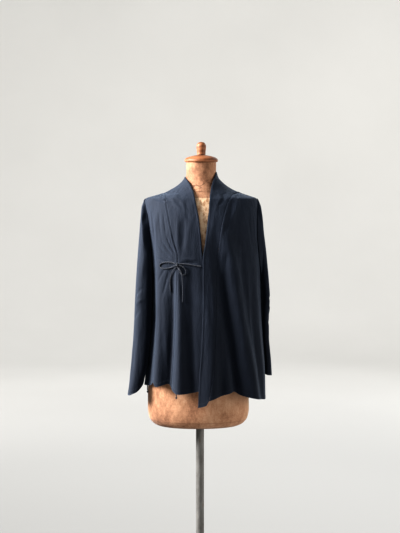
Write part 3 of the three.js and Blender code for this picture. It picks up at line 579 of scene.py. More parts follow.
# Small creases of the worn cloth, each a soft groove (negative) or ridge from one place to another: x is the
# distance to the wearer's left of the centre for the fronts, and a turn for the back. Bow bends it sideways.
CREASES = {
    "right": table(
        "x0 z0 x1 z1 depth width bow",
        (-163, 1462, -150, 1372, -1.3, 4.5, 2), (-151, 1456, -137, 1345, -1.5, 4.5, 3),
        (-128, 1460, -117, 1352, -1.6, 4.5, 3), (-114, 1452, -102, 1366, -1.1, 3.5, 2),
        (-139, 1440, -128, 1330, 1.2, 5, 2), (-155, 1350, -143, 1180, -1.4, 6, 4),
        (-130, 1344, -80, 1300, -2.0, 3.0, 5), (-121, 1362, -76, 1307, -1.8, 2.8, 4),
        (-132, 1326, -80, 1294, -2.0, 2.8, 4), (-106, 1378, -73, 1311, -1.7, 2.8, 3),
        (-136, 1307, -84, 1289, -1.8, 2.6, 3), (-91, 1392, -72, 1318, 1.2, 3.2, 2),
        (-96, 1515, -62, 1466, -2.8, 3.6, 3), (-80, 1520, -47, 1468, -2.6, 3.2, -2),
        (-88, 1518, -54, 1466, 2.6, 3.2, 1), (-69, 1518, -42, 1474, 2.0, 3.0, -2),
        (-66, 1500, -52, 1448, 1.8, 5, 3), (-52, 1486, -38, 1436, 1.6, 5, 2),
        (-46, 1466, -29, 1412, -1.1, 4.5, 2), (-69, 1452, -64, 1306, 2.3, 6.5, 2),
        (-51, 1448, -56, 1300, -1.9, 8, -2), (-34, 1420, -44, 1306, 1.2, 7, 0),
        (-62, 1291, -2, 1287, -2.2, 4.5, -2), (-58, 1303, -6, 1300, 1.4, 5, 1),
        (-60, 1276, -14, 1270, 1.2, 5, -3), (-60, 1268, -44, 1150, -1.6, 5, 2),
        (-92, 1275, -112, 1178, -1.8, 4, 3), (-84, 1270, -93, 1170, 1.5, 4.5, 2),
        (-102, 1280, -128, 1215, -1.2, 3.5, 2), (-148, 1008, -123, 1006, -1.1, 1.8, 0.6),
        (-130, 1220, -132, 1010, 1.6, 6, 1), (-118, 1200, -116, 900, -1.6, 6, -2),
        (-100, 1120, -104, 880, 1.2, 5, 2), (-44, 1190, -30, 880, -1.8, 7, 3),
        (-20, 1180, -8, 880, 1.5, 7, -2),
    ),
    "left": table(
        "x0 z0 x1 z1 depth width bow",
        (110, 1490, 78, 1400, 2.6, 8, -4), (96, 1486, 66, 1360, -2.0, 6, -4),
        (60, 1512, 44, 1452, -1.6, 4, 2), (52, 1500, 40, 1440, 1.4, 4, 0), (46, 1460, 34, 1330, 2.0, 8, 2),
        (68, 1340, 65, 1240, 2.2, 5, 0), (82, 1350, 76, 1180, -1.8, 6, 2),
        (100, 1335, 122, 1200, 2.4, 7, 0), (128, 1360, 138, 1150, -1.6, 6, 2),
        (142, 1320, 158, 1000, 1.8, 6, -2), (150, 1450, 162, 1330, -1.3, 5, 2),
        (168, 1440, 172, 1340, 1.2, 4, 0), (36, 1250, 34, 1080, -1.0, 5, 2),
        (20, 1220, 22, 1000, 1.2, 6, 0), (104, 1090, 118, 880, -1.8, 6, 3),
        (128, 1120, 152, 880, -1.8, 6, 2), (74, 1060, 88, 885, -1.4, 5, 2), (60, 1150, 62, 900, 1.3, 6, -2),
        (160, 1150, 180, 870, -1.6, 6, 0),
    ),
    "back": table(
        "x0 z0 x1 z1 depth width bow",
        (200, 1496, 214, 1400, -1.8, 6, 3), (160, 1496, 144, 1396, -1.9, 6, -4),
        (182, 1490, 179, 1330, -1.6, 7, 2), (190, 1380, 196, 1180, 1.6, 6, 2),
        (172, 1370, 166, 1150, 1.5, 6, -3), (150, 1330, 152, 1120, -1.8, 6, 2),
        (212, 1350, 208, 1100, -1.8, 6, -2), (225, 1320, 224, 1060, 1.7, 6, 2),
        (236, 1380, 226, 1290, -1.9, 4, 4), (243, 1350, 232, 1262, 1.6, 4, 3),
        (124, 1390, 134, 1288, -1.9, 4, -4), (118, 1350, 128, 1258, 1.5, 4, -3),
        (134, 1280, 138, 1000, 1.5, 6, 2), (156, 1180, 153, 900, 1.6, 6, -2),
        (171, 1120, 170, 880, -1.8, 6, 2), (187, 1150, 190, 880, 1.7, 6, 2),
        (203, 1100, 200, 880, -1.8, 6, 0), (214, 1190, 217, 890, 1.6, 6, 2),
        (229, 1100, 232, 900, -1.6, 5, 0), (246, 1200, 250, 900, 1.4, 6, 2),
        (104, 1180, 106, 880, -1.2, 6, 2),
    ),
}
CREASES["band"] = CREASES["left"]


def bowed_bells(rows, across, z, placed):
    """Sum of bells across bowed lines on an unrolled cloth, in millimetres, each fading in and out along its
    line. The function placed turns a table's first coordinate into a distance across the cloth."""
    total = np.zeros(np.broadcast(across, z).shape)
    for first, z0, last, z1, depth, width, bow in zip(*rows.values()):
        start = np.array([placed(first, z0), z0])
        line = np.array([placed(last, z1), z1]) - start
        length = np.hypot(*line)
        du, dz = across - start[0], z - start[1]
        share = (du * line[0] + dz * line[1]) / length**2
        inside = np.clip(share, 0, 1)
        away = (du * line[1] - dz * line[0]) / length - bow * 4 * inside * (1 - inside)
        fade = smooth_step(share / CREASE_END) * smooth_step((1 - share) / CREASE_END)
        total = total + depth * fade * np.exp(-((away / width) ** 2))
    return total


def crease_depth(turn, z, layer):
    """The small creases of a layer of the body's cloth."""
    round_turn = np.where((turn < 0) & (layer == "back"), turn + 360, turn)

    def placed(x, z):
        return (x if layer == "back" else turn_at(x, z)) * MM_PER_DEGREE

    return bowed_bells(CREASES[layer], round_turn * MM_PER_DEGREE, z, placed)


def edge_turn(rows, layer):
    """The turn of a free edge or a seam by level. Its table gives true heights, so the hem's sway counts."""

    def turn_of(z):
        return turn_at(smooth(rows, "z", "x", z), z)

    return lambda level: turn_of(row_height(level, turn_of(row_height(level, turn_of(level), layer)), layer))


def armhole_at(level):
    """How far the armhole's edge is from the side, as a share of its widest: half an ellipse."""
    share = (level - ARMHOLE_MIDDLE) / ARMHOLE_HALF
    return np.sqrt(np.maximum(0, 1 - share**2))


def row_levels(collar, shoulder, armhole, skirt):
    """The rows' nominal levels, from the collar's top to the hem, crowded where the armhole turns."""
    parts = [
        np.linspace(COLLAR_TOP, NECK_SEAM, collar, endpoint=False),
        np.linspace(NECK_SEAM, SHOULDER_TIP, shoulder, endpoint=False),
        ARMHOLE_MIDDLE + ARMHOLE_HALF * np.cos(np.pi * np.arange(armhole) / armhole),
        np.linspace(UNDERARM, HEM_LEVEL, skirt + 1),
    ]
    return np.concatenate(parts)


LEVELS = row_levels(**ROWS)
COLLAR_LEVELS, PANEL_LEVELS = LEVELS[: ROWS["collar"] + 1], LEVELS[ROWS["collar"] :]


def inset_turn(edge, towards, levels, layer, distance):
    """The turn that lies a distance along the cloth from an edge's turn: found by halving."""
    z = row_height(levels, edge, layer)
    start = cloth_point(edge, z, layer)
    near, far = edge, edge + np.sign(towards - edge) * MOST_INSET
    for _ in range(HALVINGS):
        middle = (near + far) / 2
        short = np.linalg.norm(cloth_point(middle, z, layer) - start, axis=-1) < distance
        near, far = np.where(short, middle, near), np.where(short, far, middle)
    return near


def slant_of(edge, levels, layer):
    """How much an edge's slant lengthens a level step across its seam gap."""
    points = cloth_point(edge, row_height(levels, edge, layer), layer)
    step = np.diff(points, axis=0)
    slant = np.minimum(MOST_SLANT, np.linalg.norm(step, axis=-1) / np.abs(step[:, 2]))
    return np.append(slant, slant[-1])


def along_rows(points):
    """Distance along each row of points from its first one."""
    steps = np.linalg.norm(np.diff(points, axis=1), axis=-1)
    return np.concatenate([np.zeros((len(points), 1)), np.cumsum(steps, 1)], 1)


def to_the_end(steps):
    """Distance to the last row of points, from the steps between rows."""
    return np.concatenate([np.cumsum(steps[::-1], 0)[::-1], np.zeros((1, steps.shape[1]))], 0)


class Cloth:
    """A grid of worn cloth with an outer and an inner face, in rows from the top down and in columns
    anticlockwise from above, with each point's place along both threads and its distance from the hem and a
    felled seam."""

    def __init__(self, layer, levels, first, last, columns, felled=None, hemmed=True, free=None):
        a, b = first(levels), last(levels)
        slant_a, slant_b = slant_of(a, levels, layer), slant_of(b, levels, layer)
        begin = inset_turn(a, b, levels, layer, SEAM_GAP / 2 * slant_a)
        end = inset_turn(b, a, levels, layer, SEAM_GAP / 2 * slant_b)
        share = np.linspace(0, 1, columns + 1)
        turn = mix(begin[:, None], end[:, None], share)
        seam_turn = mix(a[:, None], b[:, None], share)
        z = row_height(levels[:, None], turn, layer)
        outer = cloth_point(turn, z, layer)
        normal = self.normal_at(seam_turn, z, layer)
        below = to_the_end(np.linalg.norm(np.diff(outer, axis=0), axis=-1))
        gone = along_rows(outer)
        from_edge = {"first": gone / slant_a[:, None], "last": (gone[:, -1:] - gone) / slant_b[:, None]}
        edge = np.minimum(from_edge["first"], from_edge["last"])
        fade = smooth_step(edge / CREASE_FADE_SEAM) * (smooth_step(below / CREASE_FADE_HEM) if hemmed else 1)
        lift = crease_depth(turn, z, layer) * fade
        seam = from_edge[felled] if felled else np.full_like(edge, FAR_FROM_SEAM)
        if felled:
            lift = lift + FELL_RISE * smooth_step((FELL_REACH - seam) / FELL_SOFT)
        lift = lift - SEAM_DIP * np.exp(-((edge / SEAM_DIP_WIDTH) ** 2))
        if hemmed:
            lift = lift + HEM_RISE * smooth_step((HEM_REACH - below) / HEM_SOFT)
        if free:
            lift = lift + RIM_RISE * np.exp(-(((from_edge[free] - RIM_MIDDLE) / RIM_WIDTH) ** 2))
        self.outer = outer + normal * lift[..., None]
        self.inner = outer + normal * (lift - THICKNESS)[..., None]
        self.along = np.stack([seam_turn * MM_PER_DEGREE, z], -1)
        self.hem = below if hemmed else np.full_like(below, FAR_FROM_HEM)
        self.seam = seam

    @staticmethod
    def normal_at(turn, z, layer):
        """The way out of the folded cloth: the cross product of steps round and up it."""
        round_it = cloth_point(turn + NORMAL_STEP, z, layer) - cloth_point(turn - NORMAL_STEP, z, layer)
        up = cloth_point(turn, z + NORMAL_STEP, layer) - cloth_point(turn, z - NORMAL_STEP, layer)
        normal = np.cross(round_it, up)
        return normal / np.linalg.norm(normal, axis=-1, keepdims=True)


def make_mesh(name, points, faces, finish, sharp=None, cloth_map=None, values=None):
    """A mesh object in metres from points in millimetres and lists of point numbers, smooth but for edges
    sharper than an angle. A cloth map becomes its UVs, and values become attributes of its points."""
    mesh = bpy.data.meshes.new(name)
    mesh.from_pydata((points * MM).tolist(), [], faces)
    mesh.shade_smooth()
    if sharp is not None:
        mesh.set_sharp_from_angle(angle=math.radians(sharp))
    if cloth_map is not None:
        corners = np.empty(len(mesh.loops), np.int32)
        mesh.loops.foreach_get("vertex_index", corners)
        layer = mesh.uv_layers.new(name="cloth")
        layer.data.foreach_set("uv", (cloth_map[corners] * MM).astype(np.float32).ravel())
    for key, value in (values or {}).items():
        made = mesh.attributes.new(key, "FLOAT", "POINT")
        made.data.foreach_set("value", (value * MM).astype(np.float32).ravel())
    mesh.materials.append(finish)
    return add_object(name, mesh)


def without_repeats(faces):
    """Faces as lists of point numbers, with each number once in a face."""
    return [list(dict.fromkeys(face)) for face in faces.tolist()]


def ring_faces(rows, columns):
    """The faces between closed rings of points that are numbered ring by ring."""
    number = np.arange(rows * columns).reshape(rows, columns)
    after = np.roll(number, -1, 1)
    return np.stack([number[:-1], number[1:], after[1:], after[:-1]], -1).reshape(-1, 4)


def closed_surface(name, rings, finish, sharp=None):
    """A closed skin through rings of points, from the top ring down. Points that fall together are joined,
    which closes its two ends."""
    faces = ring_faces(*rings.shape[:2])
    points = rings.reshape(-1, 3)
    _, first, same = np.unique(np.round(points, 3), axis=0, return_index=True, return_inverse=True)
    tidy = [face for face in without_repeats(same.reshape(-1)[faces]) if len(face) > 2]
    return make_mesh(name, points[first], tidy, finish, sharp)


def rim_faces(faces, count):
    """The faces that close a wall's edge: one for each directed edge that no other face runs back along."""
    ahead = np.concatenate([faces[:, [i, (i + 1) % 4]] for i in range(4)])
    ahead = ahead[ahead[:, 0] != ahead[:, 1]]
    codes, back = ahead[:, 0] * count + ahead[:, 1], ahead[:, 1] * count + ahead[:, 0]
    p, q = ahead[~np.isin(codes, back)].T
    return np.stack([q, p, p + count, q + count], -1)


def wall(name, grids):
    """A closed wall of jersey: outer faces, the inner ones turned round, and a rim. Grids that share an edge
    are joined."""
    sizes = {"outer": 3, "inner": 3, "along": 2, "hem": 1, "seam": 1}
    flat = {}
    for key, size in sizes.items():
        flat[key] = np.concatenate([getattr(g, key).reshape(-1, size) for g in grids])
    _, first, same = np.unique(np.round(flat["outer"], 2), axis=0, return_index=True, return_inverse=True)
    quads, start = [], 0
    for g in grids:
        rows, columns = g.outer.shape[:2]
        number = start + np.arange(rows * columns).reshape(rows, columns)
        corners = [number[:-1, :-1], number[1:, :-1], number[1:, 1:], number[:-1, 1:]]
        quads.append(np.stack(corners, -1).reshape(-1, 4))
        start += rows * columns
    faces = same.reshape(-1)[np.concatenate(quads)]
    count = len(first)
    all_faces = np.concatenate([faces, faces[:, ::-1] + count, rim_faces(faces, count)])
    points = np.concatenate([flat["outer"][first], flat["inner"][first]])
    double = {key: np.concatenate([flat[key][first]] * 2) for key in ("along", "hem", "seam")}
    cloth_map = double.pop("along")
    return make_mesh(name, points, without_repeats(all_faces), jersey, WALL_SHARP, cloth_map, double)


def front_panel(name, layer, seam, columns):
    """A front: from the armhole and the side to the band's seam."""
    side = -1 if layer == "right" else 1
    joined = edge_turn(seam, layer)

    def outside(level):
        return side * (90 - ARMHOLE_FRONT * armhole_at(level))

    ends = (outside, joined) if side < 0 else (joined, outside)
    grid = Cloth(layer, PANEL_LEVELS, *ends, columns, felled="last" if side < 0 else "first")
    for part in ("outer", "inner"):
        points = getattr(grid, part)
        points[0] = mix(points[0], points[1], FRONT_TIP_CUT)
    return wall(name, [grid])


def band(name, layer, edge, seam, columns, neck_columns):
    """A collar band: up the front edge, over the shoulder and round to the centre back."""
    side = -1 if layer == "right" else 1
    rim = "last" if side < 0 else "first"
    free, joined = edge_turn(edge, layer), edge_turn(seam, layer)

    def ridge(level):
        return np.full_like(level, side * 90.0)

    def centre_back(level):
        return np.full_like(level, side * 180.0)

    spans = (
        (PANEL_LEVELS, joined, free, columns, True, rim),
        (COLLAR_LEVELS, ridge, free, columns, False, rim),
        (COLLAR_LEVELS, centre_back, ridge, neck_columns, False, None),
    )
    grids = []
    for levels, first, last, count, hemmed, free_edge in spans:
        ends = (first, last) if side < 0 else (last, first)
        grids.append(Cloth(layer, levels, *ends, count, hemmed=hemmed, free=free_edge))
    front, neck_front, neck_back = grids
    for part in ("outer", "inner", "along", "hem", "seam"):
        low, middle, high = (getattr(g, part) for g in (front, neck_front, neck_back))
        middle[-1] = low[0]
        if side < 0:
            high[:, -1] = middle[:, 0]
        else:
            high[:, 0] = middle[:, -1]
    return wall(name, grids)


def back_panel(name, columns):
    """The back: from side to side below the collar band."""
    levels = np.concatenate([[NECK_SEAM - SEAM_GAP], PANEL_LEVELS[1:]])

    def left(level):
        return 90 + ARMHOLE_BACK * armhole_at(level)

    def right(level):
        return 270 - ARMHOLE_BACK * armhole_at(level)

    return wall(name, [Cloth("back", levels, left, right, columns)])


# --------------------------------------------------------------------------------------------------- sleeves
# A sleeve's outer side reaches so far from the centre. Its section is an oval of two half widths, thin and
# wide, whose middle lies at y, and yaw turns its front outwards. The cuff is higher against the body, by its
# rise.
SLEEVES = {
    "right": dict(
        side=-1, cuff=869, rise=38,
        rows=table(
            "z reach y thin wide yaw",
            (1484, 176, 4, 16, 44, 0), (1458, 182, 4, 18, 48, 0), (1422, 186, 4, 19, 52, 0),
            (1369, 190.5, 3, 21.5, 56, 0), (1274, 198, 2, 26, 59, 0), (1186, 203.5, 0, 28.5, 59, 0),
            (1080, 208.5, -4, 29.5, 57, 0), (975, 215, -11, 28, 53, 0), (907, 222.5, -17, 23, 50, 0),
            (865, 228, -20, 20, 47, 0),
        ),
        creases=table(
            "round0 z0 round1 z1 depth width bow",
            (70, 1475, 52, 1350, -1.8, 5, 3), (30, 1470, 24, 1340, -1.4, 5, 2),
            (-50, 1460, -40, 1330, -1.8, 5, 3), (96, 1210, 20, 1160, -2.2, 5, 6),
            (100, 1176, 36, 1140, 2.0, 5, 5), (80, 1150, 0, 1098, -1.9, 5, -5),
            (-90, 1200, -20, 1150, -2.2, 5, 6), (-96, 1160, -30, 1120, 1.9, 5, 5),
            (60, 1080, 44, 930, -1.6, 6, 4), (-60, 1090, -46, 930, -1.8, 6, 4),
            (20, 1050, 10, 900, 1.6, 7, -3), (100, 1330, 84, 1230, 1.6, 5, 3),
        ),
    ),
    "left": dict(
        side=1, cuff=919, rise=8,
        rows=table(
            "z reach y thin wide yaw",
            (1484, 183, 4, 15, 44, 0), (1458, 190, 8, 15, 48, 3), (1437, 194, 12, 15, 51, 6),
            (1376, 200.5, 22, 15, 55, 11), (1315, 208, 32, 15, 57, 14), (1211, 218.5, 45, 15, 57, 16),
            (1170, 221, 48, 15, 57, 17), (1120, 218.5, 52, 15, 55, 17), (1054, 219.5, 57, 16, 54, 17),
            (960, 227.5, 62, 16, 50, 16), (919, 229.5, 63, 16, 48, 15),
        ),
        creases=table(
            "round0 z0 round1 z1 depth width bow",
            (66, 1470, 56, 1340, -1.6, 5, 3), (28, 1466, 30, 1330, -1.4, 5, 2),
            (-48, 1460, -42, 1330, -1.8, 5, 3), (90, 1180, 14, 1140, -2.0, 5, 6),
            (92, 1150, 30, 1112, 1.9, 5, 5), (84, 1122, 10, 1070, -1.8, 5, -5),
            (-90, 1170, -20, 1130, -2.0, 5, 6), (-94, 1140, -34, 1096, 1.8, 5, 5),
            (56, 1060, 40, 950, -1.5, 6, 4), (-58, 1060, -44, 950, -1.7, 6, 4),
            (12, 1050, 8, 940, 1.5, 7, -3), (94, 1300, 80, 1216, 1.5, 5, 3),
        ),
    ),
}
SLEEVE_CLEARANCE = 3.2  # least distance from the body's outer face to the middle of a sleeve's wall
SLEEVE_SOFTNESS, CROWDING = 5, 1.25
SLEEVE_SQUARENESS = 0.72  # 1 gives an oval section, and less one with flatter sides
HALF_WALL = 0.75
ARMHOLE_AWAY = 1.35  # how far the middle of the sleeve's wall stands off the body's outer face at the armhole
BLEND_OUTER, BLEND_INNER = 26, 100
SLEEVE_MM_PER_DEGREE = 0.5
SLEEVE_FADE_TOP, SLEEVE_FADE_CUFF = 20, 8
CUFF_REACH = 14.5
CUFF_WIDER = 3  # how much wider the cuff's turned hem is than the body's
HEAD_DIP, HEAD_DIP_WIDTH = 0.6, 3
CREASED_FROM, CREASED_OVER = -0.35, 0.5  # the cosine of the turn round a sleeve from which creases begin


def sleeve_point(sleeve, round_it, down):
    """The hanging sleeve's middle surface and its heights: a flattened tube hung from the armhole's edge and
    kept outside the body's cloth. Round it, 0 is the outer side, 90 the front, 180 against the body and 270
    the back."""
    side, rows = sleeve["side"], sleeve["rows"]
    c, s = np.cos(np.radians(round_it)), np.sin(np.radians(round_it))
    edge_level = ARMHOLE_MIDDLE + ARMHOLE_HALF * c
    edge = side * (90 - np.where(s > 0, ARMHOLE_FRONT, ARMHOLE_BACK) * s)
    z = mix(edge_level, sleeve["cuff"] + sleeve["rise"] * ((1 - c) / 2) ** 2, down)
    at = {key: smooth(rows, "z", key, z) for key in ("reach", "y", "thin", "wide", "yaw")}
    cy, sy = np.cos(np.radians(at["yaw"])), np.sin(np.radians(at["yaw"]))
    norm = 2 / (2 - SLEEVE_SQUARENESS)
    half_reach = ((at["thin"] * cy) ** norm + (at["wide"] * np.abs(sy)) ** norm) ** (1 / norm)
    middle = at["reach"] - HALF_WALL - half_reach
    across = at["thin"] * np.sign(c) * np.abs(c) ** SLEEVE_SQUARENESS
    along = at["wide"] * np.sign(s) * np.abs(s) ** SLEEVE_SQUARENESS
    x = side * (middle + across * cy + along * sy)
    y = at["y"] + across * sy - along * cy
    point = np.stack([x, y, z], -1)
    hung = smooth_step((edge_level - z) / mix(BLEND_OUTER, BLEND_INNER, (1 - c) / 2))
    found = []
    for layer in ("back", "left"):
        turn, off = place_of(point, layer)
        inside = off - SLEEVE_CLEARANCE
        cleared = SLEEVE_CLEARANCE + (inside + np.hypot(inside, SLEEVE_SOFTNESS)) / 2
        found.append(cloth_point(mix(edge, turn, hung), z, layer, mix(ARMHOLE_AWAY, cleared, hung)))
    use_left = (side > 0) & (s >= 0)
    return np.where(use_left[..., None], found[1], found[0]), z


def sleeve_creases(sleeve, round_it, z):
    """The small creases of a sleeve."""
    signed = (round_it + 180) % 360 - 180

    def placed(turn, _):
        return turn * SLEEVE_MM_PER_DEGREE

    return bowed_bells(sleeve["creases"], signed * SLEEVE_MM_PER_DEGREE, z, placed)


class Tube:
    """The sleeve's grid: rings down from the armhole to the cuff, closed round."""

    def __init__(self, sleeve, rings, points):
        share = np.linspace(0, 1, rings + 1)[:, None] ** CROWDING
        turn = -sleeve["side"] * 360 * np.arange(points)[None, :] / points
        turn, share = np.broadcast_arrays(turn, share)
        middle, z = sleeve_point(sleeve, turn, share)
        along = np.roll(middle, -1, 1) - np.roll(middle, 1, 1)
        padded = np.concatenate([middle[:1], middle, middle[-1:]])
        normal = np.cross(along, padded[:-2] - padded[2:])
        normal /= np.linalg.norm(normal, axis=-1, keepdims=True)
        steps = np.linalg.norm(np.diff(middle, axis=0), axis=-1)
        below = to_the_end(steps)
        above = np.concatenate([np.zeros((1, points)), np.cumsum(steps, 0)], 0)
        fade = smooth_step((np.cos(np.radians(turn)) - CREASED_FROM) / CREASED_OVER)
        fade = fade * smooth_step(above / SLEEVE_FADE_TOP) * smooth_step(below / SLEEVE_FADE_CUFF)
        lift = sleeve_creases(sleeve, turn, z) * fade
        lift = lift + HEM_RISE * smooth_step((CUFF_REACH - below) / HEM_SOFT)
        lift = lift - HEAD_DIP * np.exp(-((above / HEAD_DIP_WIDTH) ** 2))
        closed = np.append(np.arange(points), 0)
        round_mm = np.arange(points + 1) * (360 * SLEEVE_MM_PER_DEGREE) / points
        self.outer = (middle + normal * (lift + THICKNESS / 2)[..., None])[:, closed]
        self.inner = (middle + normal * (lift - THICKNESS / 2)[..., None])[:, closed]
        self.along = np.stack(np.broadcast_arrays(round_mm[None, :], z[:, closed]), -1)
        self.hem = (below - CUFF_WIDER)[:, closed]
        self.seam = np.full_like(self.hem, FAR_FROM_SEAM)


# ----------------------------------------------------------------------------------------------------- cords
# A place is x, z and the distance from the right front's outer face to the cord's middle.
CORD_DIAMETER = 3.0
TIE_KNOT = (-68, 1285, 4.9)
ROUTES = {
    "tie_lead": [(-61.5, 1287.5, 3.4), (-42, 1286.5, 2.2), (-20, 1283, 2.2), (2.5, 1279.5, 2.4)],
    "tie_loop_side": [
        (-74.2, 1288, 4.2), (-84, 1290.6, 4.4), (-96, 1291.6, 4.2), (-108, 1289.8, 3.4), (-117, 1285, 2.6),
        (-119.8, 1279, 2.2), (-116, 1273, 2.2), (-107, 1271.2, 2.4), (-93, 1273.6, 2.8), (-74.4, 1281.8, 4),
    ],
    "tie_loop_band": [
        (-62.4, 1282.3, 4.4), (-55, 1281.5, 5.8), (-47.5, 1276.5, 5.6), (-43, 1268.5, 4.6),
        (-42.5, 1260.5, 3.4), (-46, 1254.2, 2.4), (-52, 1253.4, 2.2), (-57, 1258, 2.2), (-60, 1266.5, 2.6),
        (-64.7, 1276.5, 3.8),
    ],
    "tie_end_side": [
        (-71.6, 1277.2, 4), (-81, 1266.5, 4.2), (-89, 1252, 3.6), (-92, 1230, 3.2), (-92, 1202, 3.2),
    ],
    "tie_end_band": [
        (-65, 1277.8, 8.3), (-58.5, 1271, 8.4), (-54, 1261, 7.8), (-52, 1248, 6.6), (-51.5, 1230, 4.2),
        (-51, 1204, 2.4), (-51.5, 1171, 2.2),
    ],
    "hem_tie_front": [(-71, 920, -5.3), (-70, 902, -4.6), (-69, 883.5, -4.6)],
    "hem_tie_side": [(-171, 920, -3.8), (-171, 902, -4.6), (-171, 883.5, -4.6)],
}
HEM_KNOTS = {"hem_tie_front_knot": (-69, 879.8, -4.6), "hem_tie_side_knot": (-171, 879.8, -4.6)}
CORD_POINT_STEP, LEAST_CORD_POINTS, MOST_CORD_POINTS = 2.2, 15, 40
CURVE_STEPS = 24
KNOT_RINGS, KNOT_POINTS, KNOT_HOLLOW = 25, 36, 0.10


def on_front(x, z, away):
    """A point at a place over the right front's cloth, or behind it where away is below 0."""
    x, z, away = np.broadcast_arrays(*(np.asarray(v, float) for v in (x, z, away)))
    return cloth_point(turn_at(x, z), z, "right", away)


def cord_line(points):
    """A centripetal Catmull-Rom curve through points, at even distances along it."""
    ends = np.array([2 * points[0] - points[1], *points, 2 * points[-1] - points[-2]])
    fine = []
    for p in (ends[i : i + 4] for i in range(len(points) - 1)):
        roots = np.sqrt(np.linalg.norm(np.diff(p, axis=0), axis=-1))
        when = np.concatenate([[0], np.cumsum(roots)])
        t = np.linspace(when[1], when[2], CURVE_STEPS, endpoint=False)[:, None]

        def between(a, b, ta, tb):
            return ((tb - t) * a + (t - ta) * b) / (tb - ta)

        a = [between(p[i], p[i + 1], when[i], when[i + 1]) for i in range(3)]
        b = [between(a[i], a[i + 1], when[i], when[i + 2]) for i in range(2)]
        fine.append(between(b[0], b[1], when[1], when[2]))
    fine = np.concatenate([*fine, points[-1:]])
    gone = along_rows(fine[None])[0]
    count = int(np.clip(gone[-1] / CORD_POINT_STEP, LEAST_CORD_POINTS, MOST_CORD_POINTS))
    wanted = np.linspace(0, gone[-1], count)
    return np.stack([np.interp(wanted, gone, fine[:, axis]) for axis in range(3)], -1)


def cord_piece(name):
    """The cord as a curve of one open spline with a round section, and its line in metres."""
    line = cord_line(on_front(*np.array(ROUTES[name], float).T)) * MM
    data = bpy.data.curves.new(name, "CURVE")
    data.dimensions = "3D"
    data.bevel_depth = CORD_DIAMETER / 2 * MM
    data.bevel_resolution = 4
    data.use_fill_caps = True
    spline = data.splines.new("POLY")
    spline.points.add(len(line) - 1)
    spline.points.foreach_set("co", np.concatenate([line, np.ones((len(line), 1))], 1).ravel())
    data.materials.append(cord_cloth)
    return add_object(name + "_cord", data), line


def knot_piece(name, place, radius, stretch):
    """A tied knot: a ball drawn out upwards, with two slanting hollows where the cord passes round it."""
    from_top = np.linspace(0, np.pi, KNOT_RINGS)
    round_it = np.linspace(0, 2 * np.pi, KNOT_POINTS, endpoint=False)
    down, around = np.meshgrid(from_top, round_it, indexing="ij")
    r = radius * (1 - KNOT_HOLLOW * np.sin(down) * (1 + np.cos(2 * around + 3 * down)) / 2)
    across = r * np.sin(down)
    ball = np.stack([across * np.cos(around), across * np.sin(around), r * stretch * np.cos(down)], -1)
    return closed_surface(name + "_tied", ball + on_front(*place), cord_cloth)


# -------------------------------------------------------------------------------------------- the dress form
# The form's reach to each side, its depth before and behind, and the power of the cosine, by height.
FORM = table(
    "z side front back pointed",
    (764, 112, 62, 66, 0.85), (768, 130, 78, 84, 0.85), (777, 146, 92, 100, 0.85),
    (794, 157, 101, 111, 0.85), (822, 161, 105, 116, 0.85), (900, 160, 106, 117, 0.85),
    (960, 153, 104, 112, 0.85), (1040, 136, 95, 96, 0.87), (1130, 118, 86, 82, 0.9),
    (1220, 124, 95, 90, 0.88), (1300, 134, 106, 101, 0.86), (1345, 140, 107, 105, 0.86),
    (1400, 145, 101, 104, 0.9), (1440, 150, 93, 99, 1.0), (1464, 153, 85, 92, 1.15),
    (1481, 148, 79, 86, 1.3), (1491.5, 128, 74, 81, 1.35), (1501, 100, 69, 76, 1.35),
    (1511, 79.6, 64.6, 69.6, 1.25), (1524, 62.6, 57.6, 60.6, 1.1), (1541, 50.6, 50.6, 52.6, 1.0),
    (1565, 46.6, 47, 48, 1.0), (1597, 47, 47, 48, 1.0),
)
FORM_BOTTOM, FORM_TOP = 764, 1597
LEAN_BOTTOM, LEAN_TOP = -6, 4
FORM_RIM, RIM_STEP = 800, 2  # below this height the torso's rings lie closer
FORM_RINGS, RIM_RINGS, FORM_POINTS = 250, 30, 192
DENT_DEPTH, MEAN_REACH = 0.45, 110
PINCHED = 1e-6  # the share of its size to which an end ring shrinks
NEAR_SEAT = 0.3  # between pieces that touch

# Profiles of radius and height, from the axis at the bottom round to the axis at the top.
CAP = [(0, 0), (48, 0), (51.5, 1.5), (52.5, 5.5), (51, 10), (45, 14.5), (30, 19), (14.5, 22), (0, 22)]
FINIAL = [
    (0, 0), (13.6, 0), (13.3, 4), (13.6, 12), (14.7, 20), (15.1, 26), (14.3, 32), (11.4, 37), (6.5, 39.9),
    (0, 40.7),
]
POLE_RADIUS, POLE_CHAMFER = 12.7, 0.6
FOOT_RADIUS, FOOT_EDGE, HUB_RADIUS, HUB_TOP, SOCKET_FLOOR = 158, 10, 22, 68, 16
CORNER_CUT = 0.2  # share of a profile's stretch that rounding cuts off at each end


def lean_at(z):
    """How far to the wearer's left the form's axis lies at a height."""
    return mix(LEAN_BOTTOM, LEAN_TOP, (z - FORM_BOTTOM) / (FORM_TOP - FORM_BOTTOM))


